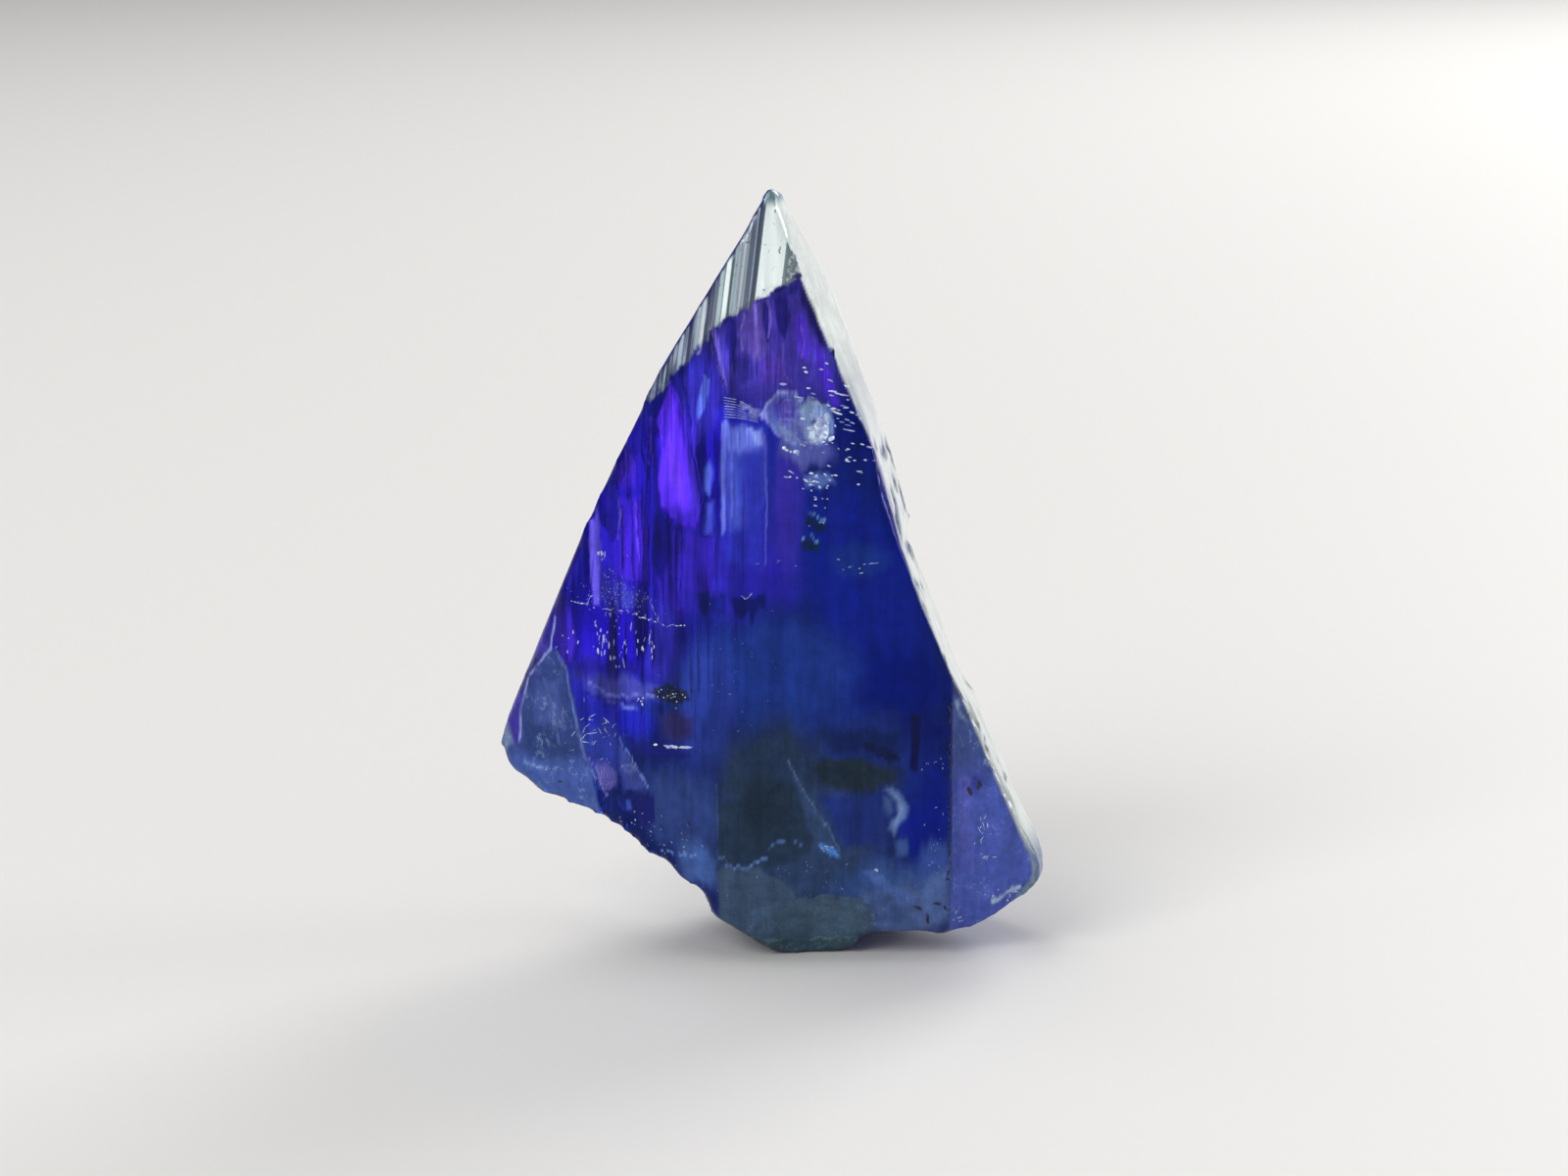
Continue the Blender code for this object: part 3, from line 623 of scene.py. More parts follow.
# Half width, colour as seen, haze, places x and z in mm that the line runs through.
LINES = {
    # painted highlights on the crests of the folds
    "fold crest": (0.04, (112, 92, 180), 0.85, (-3.05, 30.2), (-2.75, 29.7), (-2.95, 28.9), (-2.8, 28.2)),
    "fold crest right": (0.04, (104, 82, 172), 0.85, (-1.75, 30.5), (-1.6, 29.6), (-1.7, 28.7)),
    "fold's dark edge": (0.05, (28, 24, 104), 0.80, (-4.35, 29.3), (-4.0, 28.0), (-3.7, 26.9),
        (-3.45, 26.2)),
    "light in the fold": (0.04, (118, 84, 214), 0.80, (-0.3, 29.4), (-0.15, 28.6), (-0.2, 28.0)),
    "violet crest": (0.04, (96, 72, 168), 0.85, (-1.1, 28.4), (-1.0, 27.4), (-0.6, 26.7)),
    "slit one": (0.05, (20, 14, 110), 0.55, (-7.9, 21.6), (-7.75, 20.2), (-7.85, 18.4)),
    "slit two": (0.04, (22, 14, 116), 0.55, (-7.35, 21.9), (-7.4, 20.6), (-7.3, 19.0), (-7.35, 17.6)),
    "slit three": (0.05, (20, 14, 112), 0.55, (-8.25, 21.0), (-8.2, 19.4), (-8.3, 18.0)),
    "slit four": (0.04, (26, 18, 124), 0.55, (-7.2, 25.0), (-7.3, 23.6), (-7.1, 22.4)),
    "slit five": (0.04, (26, 18, 124), 0.55, (-5.6, 19.6), (-5.55, 18.4), (-5.65, 17.4)),
    "glow one": (0.05, (104, 66, 240), 0.50, (-7.6, 21.2), (-7.6, 19.8), (-7.5, 18.6)),
    "glow two": (0.05, (98, 60, 236), 0.50, (-6.95, 25.0), (-6.95, 23.8), (-7.05, 22.8)),
    "glow three": (0.04, (92, 56, 228), 0.50, (-8.15, 23.4), (-8.0, 22.6), (-8.2, 22.0)),
    "lobe's light band": (0.28, (84, 90, 164), 0.92, (7.1, 8.6), (7.2, 6.4), (7.4, 4.6)),
    "facet's ridge": (0.07, (76, 92, 140), 0.90, (-11.9, 12.6), (-11.5, 11.2), (-11.3, 9.6)),
    "dark edge of the skin": (0.08, (16, 16, 56), 0.85, (-5.9, 27.2), (-5.3, 28.1), (-4.36, 29.45),
        (-3.6, 29.75), (-3.0, 30.3), (-2.3, 30.75), (-1.1, 31.0), (-0.6, 31.5), (-0.2, 31.65)),
    "spindle's right edge": (0.05, (28, 20, 140), 0.60, (-5.4, 26.6), (-5.2, 25.0), (-5.1, 23.4),
        (-4.65, 21.4)),
    "top of the violet block": (0.05, (24, 20, 116), 0.70, (-6.6, 20.3), (-5.6, 20.15), (-4.6, 19.85),
        (-4.0, 19.7)),
    "flame's light edge": (0.04, (112, 112, 214), 0.70, (-8.4, 21.3), (-8.3, 20.4), (-8.45, 19.4)),
    "slab's right line": (0.04, (88, 88, 186), 0.70, (-1.85, 24.4), (-1.8, 21.5), (-1.8, 18.6)),
    "slab's second line": (0.04, (104, 108, 204), 0.70, (-3.35, 24.8), (-3.3, 22.4), (-3.35, 20.8)),
    "veil's upper rim": (0.05, (140, 142, 196), 0.85, (-2.0, 25.3), (-1.65, 25.9), (-1.2, 26.4),
        (-0.6, 26.4), (-0.2, 25.9)),
    "veil's lower rim": (0.05, (118, 124, 190), 0.85, (-1.8, 25.1), (-1.3, 24.5), (-0.7, 24.1),
        (0.2, 23.9)),
    "pale streak in the tail": (0.09, (136, 136, 190), 0.80, (-2.9, 25.75), (-2.3, 25.5), (-1.8, 25.15)),
    "pale bend": (0.07, (94, 98, 164), 0.80, (-9.8, 12.7), (-8.6, 12.25), (-7.4, 12.4), (-6.9, 12.3)),
    "pale bend low": (0.06, (92, 104, 180), 0.75, (-9.2, 12.05), (-8.2, 11.75), (-7.6, 11.8)),
    "dark bend": (0.10, (22, 24, 110), 0.75, (-9.9, 12.2), (-8.6, 11.95), (-7.4, 12.1)),
    "rim of the glassy round": (0.035, (104, 122, 188), 0.85, (-8.45, 10.1), (-8.2, 9.75), (-7.85, 9.4),
        (-7.5, 8.75), (-7.15, 8.0)),
    "pink patch rim": (0.05, (132, 124, 190), 0.90, (-9.9, 9.1), (-9.5, 8.5), (-9.3, 7.8), (-9.0, 7.4)),
    "white line below left": (0.04, (104, 134, 184), 0.90, (-6.6, 5.15), (-5.8, 5.05), (-5.0, 5.1)),
    "column's left edge": (0.05, (50, 70, 112), 0.90, (-4.05, 8.4), (-4.0, 6.5), (-4.0, 4.7)),
    "first arc": (0.05, (96, 124, 176), 0.92, (-3.6, 4.65), (-3.1, 4.58), (-2.6, 4.66), (-2.2, 4.85),
        (-1.8, 5.15)),
    "second arc": (0.05, (78, 104, 150), 0.92, (-1.7, 5.6), (-1.2, 5.85), (-0.7, 5.9), (-0.2, 5.7)),
    "third arc": (0.05, (70, 92, 138), 0.92, (-3.9, 5.1), (-3.6, 4.8), (-3.3, 4.62)),
    "ridge": (0.04, (78, 100, 134), 0.92, (-0.8, 9.5), (0.0, 8.0), (1.2, 6.2), (1.5, 5.5)),
    "box rim": (0.05, (104, 150, 180), 0.90, (0.05, 20.85), (0.45, 20.85), (0.8, 20.65)),
    "low box rim": (0.05, (104, 150, 180), 0.90, (-0.15, 19.85), (0.2, 19.85), (0.5, 19.65)),
    "foot's upper rim": (0.05, (70, 90, 112), 0.95, (-2.0, 2.6), (-0.4, 2.95), (1.0, 3.25), (2.2, 3.05),
        (2.9, 2.35)),
    "foot line": (0.05, (84, 112, 108), 0.95, (-3.0, 1.0), (-0.5, 0.75), (2.3, 0.9)),
    # painted highlights along the edges of the facet and the rims of the lobe
    "facet's right edge": (0.05, (90, 108, 160), 0.90, (-11.3, 14.0), (-10.8, 13.2), (-10.55, 11.4),
        (-10.1, 9.3), (-9.6, 8.1)),
    "facet's left edge": (0.05, (136, 142, 196), 0.90, (-11.4, 15.6), (-11.6, 14.1), (-12.6, 12.7),
        (-13.05, 11.0), (-13.1, 9.6)),
    "facet's lower edge": (0.05, (116, 142, 178), 0.90, (-12.9, 8.55), (-12.0, 8.35), (-11.2, 8.45)),
    "lobe's upper rim": (0.09, (124, 150, 172), 0.90, (6.75, 12.3), (7.0, 11.6), (7.3, 11.3)),
    "lobe's pale ridge": (0.05, (112, 124, 178), 0.90, (8.1, 9.4), (8.6, 8.6), (9.0, 7.6)),
    "lobe's foot scratch": (0.09, (170, 190, 210), 0.90, (8.5, 2.7), (9.1, 3.05), (9.7, 3.3)),
    "lobe's right rim": (0.12, (110, 134, 148), 0.90, (10.2, 5.6), (10.55, 4.6), (10.3, 3.6), (9.6, 2.7)),
}
HAIRLINE_COLOUR, HAIRLINE_HAZE = (34, 40, 66), 0.85
HAIRLINES = (
    ((5.98, 14.8), (6.3, 13.9), (6.63, 12.87)),
    ((6.75, 12.9), (7.1, 12.1), (7.35, 11.6)),
    ((7.57, 11.4), (8.07, 10.2)),
    ((8.07, 10.06), (8.6, 9.1), (9.1, 8.14)),
    ((4.45, 20.4), (4.8, 19.5), (4.75, 18.8)),
    ((3.75, 23.0), (4.0, 22.2), (3.95, 21.6)),
)

broken = eased(field(points, (0.35, 1.0, 0.5), seed=15), -0.45, 0.0)
for half_width, colour, cloudiness, *path in LINES.values():
    near = 1 - eased(distance(wobble_x, wobble_z, path), 0.4 * half_width, 1.5 * half_width)
    cover = near_front * (1 - side) * near
    paint(cover * (0.35 + 0.65 * broken), colour, cloudiness)
    dents += LINE_DENT * cover
thin = eased(field(points, (0.6, 0.9, 0.6), seed=19), -0.15, 0.25)
for path in HAIRLINES:
    near = 1 - eased(distance(x + ragged, z, path), 0.02, 0.09)
    paint(side * thin * near, HAIRLINE_COLOUR, HAIRLINE_HAZE)
print(len(LINES), "lines and", len(HAIRLINES), "hairlines; deepest dent", round(float(dents.max()), 3), "mm")

# %% [markdown]
# The dents are pressed in, and the masks that the finish will need are stored on the mesh beside
# the colour and the haze.

# %% Press the dents in and keep the paint
def keep(piece, name, values):
    """Stores one number or colour for each point of a piece."""
    if values.ndim == 1:
        piece.data.attributes.new(name, "FLOAT", "POINT").data.foreach_set("value", values.astype(np.float32))
    else:
        rgba = np.c_[values, np.ones(len(values))].astype(np.float32)
        piece.data.attributes.new(name, "FLOAT_COLOR", "POINT").data.foreach_set("color", rgba.ravel())


move_points(stone, points - normals * (dents * off_the_floor)[:, None])
frost = np.clip(0.9 * frosted + 0.75 * lobe + 0.4 * under, 0, 1)
for name, values in (
    ("hue", hue), ("haze", haze), ("skin", skin), ("side", side), ("frost", frost), ("fibrous", fibrous)
):
    keep(stone, name, values)
    print(name, "is kept, mean", round(float(values.mean()), 3))

# %% [markdown]
# ## A short way to write finishes
# A finish is a sum of grains, and in a node tree each plus and times is a node of its own. The
# small class Number wraps one shader value, so a sum can be written as a sum and Blender still
# gets its Math nodes. The class Finish makes every other kind of node with a single method.

# %% Shader helper
class Number:
    """A shader value. Sums written with it add Math nodes."""

    def __init__(self, finish, socket):
        self.finish, self.socket = finish, socket

    def math(self, operation, *terms, clamp=False):
        settings = {"operation": operation, "use_clamp": clamp}
        return self.finish.number(self.finish.node("ShaderNodeMath", settings, dict(enumerate(terms))).outputs[0])

    def __add__(self, other):
        return self.math("ADD", self, other)

    def __sub__(self, other):
        return self.math("SUBTRACT", self, other)

    def __rsub__(self, other):
        return self.math("SUBTRACT", other, self)

    def __mul__(self, other):
        return self.math("MULTIPLY", self, other)

    __radd__ = __add__
    __rmul__ = __mul__

    def clamped(self):
        return self.math("ADD", self, 0.0, clamp=True)

    def size(self):
        return self.math("ABSOLUTE", self)

    def at_least(self, low):
        return self.math("MAXIMUM", self, low)

    def over(self, low, high):
        """0 at low, 1 at high, eased between them."""
        sockets = {0: self, 1: low, 2: high, 3: 0.0, 4: 1.0}
        made = self.finish.node("ShaderNodeMapRange", {"interpolation_type": "SMOOTHSTEP"}, sockets)
        return self.finish.number(made.outputs[0])


class Finish:
    """A material and its node tree."""

    def __init__(self, name):
        self.material = bpy.data.materials.new(name)
        self.material.use_nodes = True
        self.tree = self.material.node_tree
        self.tree.nodes.clear()

    def node(self, kind, settings=None, sockets=None):
        """Any node: its type, its settings, and the values or links of its sockets."""
        made = self.tree.nodes.new(kind)
        for name, value in (settings or {}).items():
            setattr(made, name, value)
        for name, value in (sockets or {}).items():
            value = getattr(value, "socket", value)
            if isinstance(value, bpy.types.NodeSocket):
                self.tree.links.new(value, made.inputs[name])
            else:
                made.inputs[name].default_value = value
        return made

    def number(self, socket):
        return Number(self, socket)

    def attribute(self, name):
        return self.number(self.node("ShaderNodeAttribute", {"attribute_name": name}).outputs["Fac"])

    def mix(self, factor, a, b):
        return self.node("ShaderNodeMix", {"data_type": "RGBA"}, {0: factor, 6: a, 7: b}).outputs[2]

    def times(self, a, b):
        """A colour times a colour, channel by channel."""
        return self.node("ShaderNodeVectorMath", {"operation": "MULTIPLY"}, {0: a, 1: b}).outputs[0]

    def vector(self, x, y, z):
        return self.node("ShaderNodeCombineXYZ", {}, {0: x, 1: y, 2: z}).outputs[0]

    def place(self):
        """Where a point is on the piece, in millimetres."""
        made = self.node("ShaderNodeTexCoord").outputs["Object"]
        return self.node("ShaderNodeVectorMath", {"operation": "SCALE"}, {0: made, "Scale": 1 / MM}).outputs[0]

    def grain(self, place, stretch, detail=3.0, rough=0.5, seed=(0, 0, 0)):
        """Noise from 0 to 1 whose blobs have the given size in mm along each axis."""
        sockets = {0: place, 1: [1 / s for s in stretch], 2: seed}
        moved = self.node("ShaderNodeVectorMath", {"operation": "MULTIPLY_ADD"}, sockets).outputs[0]
        sockets = {"Vector": moved, "Scale": 1.0, "Detail": detail, "Roughness": rough}
        return self.number(self.node("ShaderNodeTexNoise", {}, sockets).outputs["Fac"])

    def bump(self, height, depth):
        """A normal from a height of 0 to 1 that stands for this depth in mm."""
        sockets = {"Height": height, "Distance": depth * MM, "Strength": 1.0}
        return self.node("ShaderNodeBump", {}, sockets).outputs[0]

    def surface(self, sockets):
        """A Principled surface with these sockets."""
        return self.node("ShaderNodeBsdfPrincipled", {}, sockets).outputs[0]

    def blended(self, factor, a, b):
        """One surface where factor is 0, another where it is 1."""
        return self.node("ShaderNodeMixShader", {}, {0: factor, 1: a, 2: b}).outputs[0]

    def put_on(self, piece, surface, **others):
        """Sends the surface, and a volume if there is one, to the output, and dresses the piece in it."""
        self.node("ShaderNodeOutputMaterial", {}, {"Surface": surface, **others})
        piece.data.materials.clear()
        piece.data.materials.append(self.material)
        print(self.material.name, "has", len(self.tree.nodes), "nodes")


# %% [markdown]
# ## The tanzanite itself
# Three finishes share the surface. Most of it is glass with the refraction of zoisite, 1.695, and
# a volume that soaks up red and green on the way through. Where the stone is cloudy, a soft
# coloured surface is mixed in, and the scrap of old skin is a silvery striped one.
# All of them are woven from a few grains. Each grain is noise in millimetres, stretched upright
# for what follows the fibres and round for specks.

# %% Grains of the stone
crystal = Finish("tanzanite_glass")
place = crystal.place()
x, y, z = (crystal.number(s) for s in crystal.node("ShaderNodeSeparateXYZ", {}, {0: place}).outputs)
hue = crystal.node("ShaderNodeAttribute", {"attribute_name": "hue"}).outputs["Color"]
haze, skin, side, frost, fibrous = map(crystal.attribute, ("haze", "skin", "side", "frost", "fibrous"))
fibre = crystal.grain(place, (0.2, 0.6, 3.5), 3.0)
flame = crystal.grain(place, (0.75, 2.0, 4.5), 1.5, 0.4, seed=(2.0, 5.0, 8.0))
streak = crystal.grain(place, (0.8, 2.0, 9.0), 2.0, seed=(4.0, 1.0, 2.0))
slit = crystal.grain(place, (0.16, 0.7, 5.0), 1.0, 0.5, seed=(7.0, 1.0, 6.0))
thread = crystal.grain(place, (0.11, 0.8, 2.4), 2.0, 0.6, seed=(8.0, 3.0, 1.0))
speck = crystal.grain(place, (0.25, 0.25, 0.3), 4.0, 0.65, seed=(1.0, 7.0, 3.0))
cloud = crystal.grain(place, (1.4, 1.4, 1.1), 3.0, 0.6, seed=(9.0, 2.0, 5.0))
mottle = crystal.grain(place, (0.5, 0.5, 0.6), 5.0, 0.65, seed=(5.0, 2.0, 9.0))
crinkle = crystal.grain(place, (0.5, 0.5, 0.8), 4.0, 0.6, seed=(3.0, 8.0, 2.0))
pit = crystal.grain(place, (0.16, 0.16, 0.16), 2.0, 0.5, seed=(2.0, 2.0, 2.0))
print("the grains take", len(crystal.tree.nodes), "nodes")

# %% [markdown]
# Fibres catch the light one by one, so the colour is stronger in one and weaker in the next. That
# strength is a number round 1 that multiplies the painted colour. It swings most where the stone
# is fibrous, has dark slits there, pale and dark threads near the top, and soft mottling in haze.

# %% Strength of the colour
NEAR_TOP = (22.0, 25.5)  # heights over which the threads start
LEAST, LEAST_MOTTLED = 0.12, 0.3  # the strength never falls below these
SLIT_DARK, THREAD_PALE, THREAD_DARK = 0.42, 0.5, 0.35

strength = (fibre.over(0.3, 0.7) - 0.45) * (fibrous * 0.4 + 0.08)
strength = strength + (flame.over(0.4, 0.6) - 0.5) * (fibrous * 0.7) + 1.0
strength = strength * (1 - (1 - slit.over(0.34, 0.38)) * fibrous * SLIT_DARK)
near_top = z.over(*NEAR_TOP) * (1 - side)
threads = 1 + thread.over(0.52, 0.68) * near_top * THREAD_PALE
strength = strength * (threads - (1 - thread.over(0.32, 0.44)) * near_top * THREAD_DARK)
strength = (strength * ((streak - 0.5) * (1 - frost) * 0.4 + 1.0)).at_least(LEAST)
strength = ((strength - 1.0) * (1 - side * 0.8) + 1.0) * (fibrous * 0.25 + 1.0)
strength = strength * ((mottle - 0.5) * (haze * (1 - side * 0.6) * 1.2) + 1.0).at_least(LEAST_MOTTLED)
strength = strength * ((cloud - 0.5) * 0.6 + 1.0)
print("with the strength,", len(crystal.tree.nodes), "nodes")

# %% [markdown]
# The painted colour is what the eye should see. Glass shows its own tint twice over, once as light
# goes in and once as it comes out, and the volume takes its share, so the tint is made stronger
# first. The cloudy surface needs only a slight lift. The facets get pale scratches and crinkles.

# %% Glass and cloudy parts
SEEN_THROUGH = (3.4, 3.6, 2.0)  # what the glass's own tint must make up for
LIT = (1.0, 1.06, 1.2)  # the same for the cloudy surface
SCRATCH_COLOUR, SCRATCH_SHARE = (0.35, 0.42, 0.62, 1), 0.07
CRINKLE_COLOUR, CRINKLE_SHARE, CRINKLE_THIN = (0.4, 0.5, 0.7, 1), 0.5, 22
ZOISITE_IOR = 1.695

streaked = crystal.times(hue, crystal.vector(strength, strength, strength))
scratches = (speck.over(0.5, 0.72) * frost).clamped()
crinkled = (1 - (crinkle - 0.5).size() * CRINKLE_THIN).clamped() * frost
crinkled = crinkled * cloud.over(0.5, 0.62) * speck.over(0.4, 0.6)
milky = crystal.mix(scratches * SCRATCH_SHARE, crystal.times(streaked, LIT), SCRATCH_COLOUR)
milky = crystal.mix((crinkled * CRINKLE_SHARE).clamped(), milky, CRINKLE_COLOUR)
glass = crystal.surface({
    "Base Color": crystal.times(streaked, SEEN_THROUGH),
    "Roughness": 0.05 + frost * 0.3,
    "IOR": ZOISITE_IOR,
    "Specular Tint": (0.06, 0.10, 0.3, 1),
    "Transmission Weight": 1.0,
    "Coat Weight": side,
    "Coat Roughness": 0.06,
    "Coat IOR": 1.9,
    "Normal": crystal.bump(fibre * fibrous + speck * frost * 2.0 + speck * side, 0.006),
})
cloudy = crystal.surface({
    "Base Color": milky,
    "Roughness": 0.3 + frost * 0.3,
    "Specular IOR Level": 0.1,
    "Normal": crystal.bump(mottle * 0.6 + fibre * fibrous + crinkled, 0.02),
})
print("with glass and haze,", len(crystal.tree.nodes), "nodes")

# %% [markdown]
# The skin is a growth face: straight bands, all leaning the same way, some silvery and some dark. The near-white
# bands are painted reflections of narrow facets that face the lights, and the silvery tones are partly painted
# sheen. The broad bands stand in their places in a table. The fine lines between them are noise that is stretched
# along the lean.

# %% The striped skin
SKIN_LEAN, LEAN_FROM = 0.12, 31.0  # mm to the right for each mm of height, counted from this height
BAND_EDGE = 0.03
LINE_DARK, LINE_PALE, BROAD_PALE = (0.02, 0.04, 0.11, 1), (0.30, 0.37, 0.48, 1), (0.42, 0.52, 0.56, 1)
TIP_COLOUR, PIT_COLOUR, ROUGH_COLOUR = (0.14, 0.24, 0.28, 1), (0.05, 0.07, 0.08, 1), (0.5, 0.6, 0.62, 1)
# The two near-white bands here are painted reflections of facets that face the lights.
SKIN_BANDS = (  # left and right end across the skin (mm), colour
    (-5.75, -5.62, (0.02, 0.04, 0.08, 1)),
    (-5.30, -5.14, (0.40, 0.50, 0.62, 1)),
    (-4.95, -4.78, (0.02, 0.03, 0.09, 1)),
    (-4.25, -4.12, (0.03, 0.05, 0.10, 1)),
    (-4.45, -4.30, (0.62, 0.68, 0.74, 1)),
    (-4.02, -3.84, (0.14, 0.16, 0.24, 1)),
    (-3.84, -3.66, (0.42, 0.56, 0.58, 1)),
    (-3.62, -3.42, (0.88, 1.0, 1.0, 1)),
    (-3.40, -3.30, (0.06, 0.10, 0.12, 1)),
    (-2.95, -2.85, (0.52, 0.56, 0.62, 1)),
    (-2.72, -2.50, (0.10, 0.13, 0.20, 1)),
    (-2.36, -2.22, (0.05, 0.08, 0.12, 1)),
    (-2.22, -1.12, (0.90, 1.0, 1.0, 1)),
    (-1.12, -1.00, (0.16, 0.26, 0.28, 1)),
    (-1.00, 0.5, (0.15, 0.19, 0.22, 1)),
)

across = x - (z - LEAN_FROM) * SKIN_LEAN
leaned = crystal.vector(across, y, z)
line = crystal.grain(leaned, (0.13, 0.8, 40.0), 2.0, 0.6, seed=(3.0, 3.0, 0.0))
band = crystal.grain(leaned, (0.5, 0.8, 60.0), 1.0, seed=(6.2, 0.0, 0.0))
bands_and_painted_sheen = crystal.mix(line.over(0.42, 0.58), LINE_DARK, LINE_PALE)
bands_and_painted_sheen = crystal.mix(band.over(0.54, 0.62) * 0.6, bands_and_painted_sheen, BROAD_PALE)
for left, right, tone in SKIN_BANDS:
    on = across.over(left - BAND_EDGE, left + BAND_EDGE) * (1 - across.over(right - BAND_EDGE, right + BAND_EDGE))
    bands_and_painted_sheen = crystal.mix(on, bands_and_painted_sheen, tone)
bands_and_painted_sheen = crystal.mix(z.over(34.5, 35.0), bands_and_painted_sheen, TIP_COLOUR)
bands_and_painted_sheen = crystal.mix(pit.over(0.66, 0.72) * 0.8, bands_and_painted_sheen, PIT_COLOUR)
rough_end = across.over(-1.0, -0.9) * (1 - z.over(33.2, 33.6))
bands_and_painted_sheen = crystal.mix(rough_end * pit.over(0.5, 0.6) * 0.8, bands_and_painted_sheen, ROUGH_COLOUR)
film = crystal.surface({
    "Base Color": bands_and_painted_sheen,
    "Metallic": 0.3,
    "Roughness": 0.2 + line * 0.2,
    "IOR": ZOISITE_IOR,
    "Normal": crystal.bump(line, 0.02),
})
print(len(SKIN_BANDS), "bands on the skin")

# %% [markdown]
# Haze decides between glass and cloud, and the skin's mask lays the skin over both. The volume is
# set once for the whole stone, since its depth of colour comes from how far light travels in it.

# %% Dress the stone
SOAK_COLOUR, SOAK_DENSITY = (0.45, 0.35, 0.97, 1), 200.0

whole = crystal.blended(skin, crystal.blended(haze, glass, cloudy), film)
soak = crystal.node("ShaderNodeVolumeAbsorption", {}, {"Color": SOAK_COLOUR, "Density": SOAK_DENSITY})
crystal.put_on(stone, whole, Volume=soak.outputs[0])
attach(stone, "root")
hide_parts("tanzanite_crystal")

# %% [markdown]
# ## What is seen inside
# A rough stone is full of small healed cracks. Some catch the light as white dashes, some spread
# into feathery veils, and a few dark crystals sit among them. All lie just under the front, where
# the clear part lets them be seen. A ray is cast at the front to find its depth and its tilt at
# each place, so every piece follows the break. Each dash is a small lens of its own, closed all
# round, and a crack is a row of lenses along a path.

# %% Find a place under the front
INWARD = Vector((0, 1, 0))
RAY_FROM_Y = -0.02


def under_front(x, z, depth, lean=0.0):
    """A matrix that lays a piece flat under the front at x, z (mm), rising to the right by lean degrees.
    None where the front isn't met."""
    hit, spot, normal, _ = stone.ray_cast(Vector((x * MM, RAY_FROM_Y, z * MM)), INWARD)
    if not hit or normal.y > LOOKS_FRONT:
        return None
    tilt = (-normal).to_track_quat("Y", "Z").to_matrix().to_4x4()
    return Matrix.Translation(spot - normal * depth * MM) @ tilt @ Matrix.Rotation(math.radians(-lean), 4, "Y")


def lens(bm, place, size, rng, rough=0.0, fine=1, shine=1.0):
    """Adds one closed lens with the given half sizes (mm) to a bmesh. Its attribute cover is 0 at the rim, and
    glow says how bright it is painted, a painted highlight."""
    if place is None:
        return
    layers = bm.verts.layers.float
    cover, glow = (layers.get(name) or layers.new(name) for name in ("cover", "glow"))
    shine *= rng.uniform(0.0, 1.0) ** 1.5
    made = bmesh.ops.create_icosphere(bm, subdivisions=fine, radius=1.0)["verts"]
    shift = Vector((rng.uniform(0, 90), 0, 0))
    for vert in made:
        vert[cover], vert[glow] = abs(vert.co.y), shine
        vert.co *= 1 + rough * noise.noise(vert.co * 1.7 + shift)
    bmesh.ops.transform(bm, verts=made, matrix=place @ Matrix.Diagonal((*(s * MM for s in size), 1)))


cracks, pale, dark = bmesh.new(), bmesh.new(), bmesh.new()
print("front at the middle is at y =", round(under_front(0, 15, 0).translation.y / MM, 2), "mm")

# %% [markdown]
# The bright dashes lie in loose groups, each group leaning its own way, because each is a small
# crack that opened along the same weak plane. A few are long and most are short.

# %% Scattered dashes
DASH_THICK = 0.03  # half of it, in mm
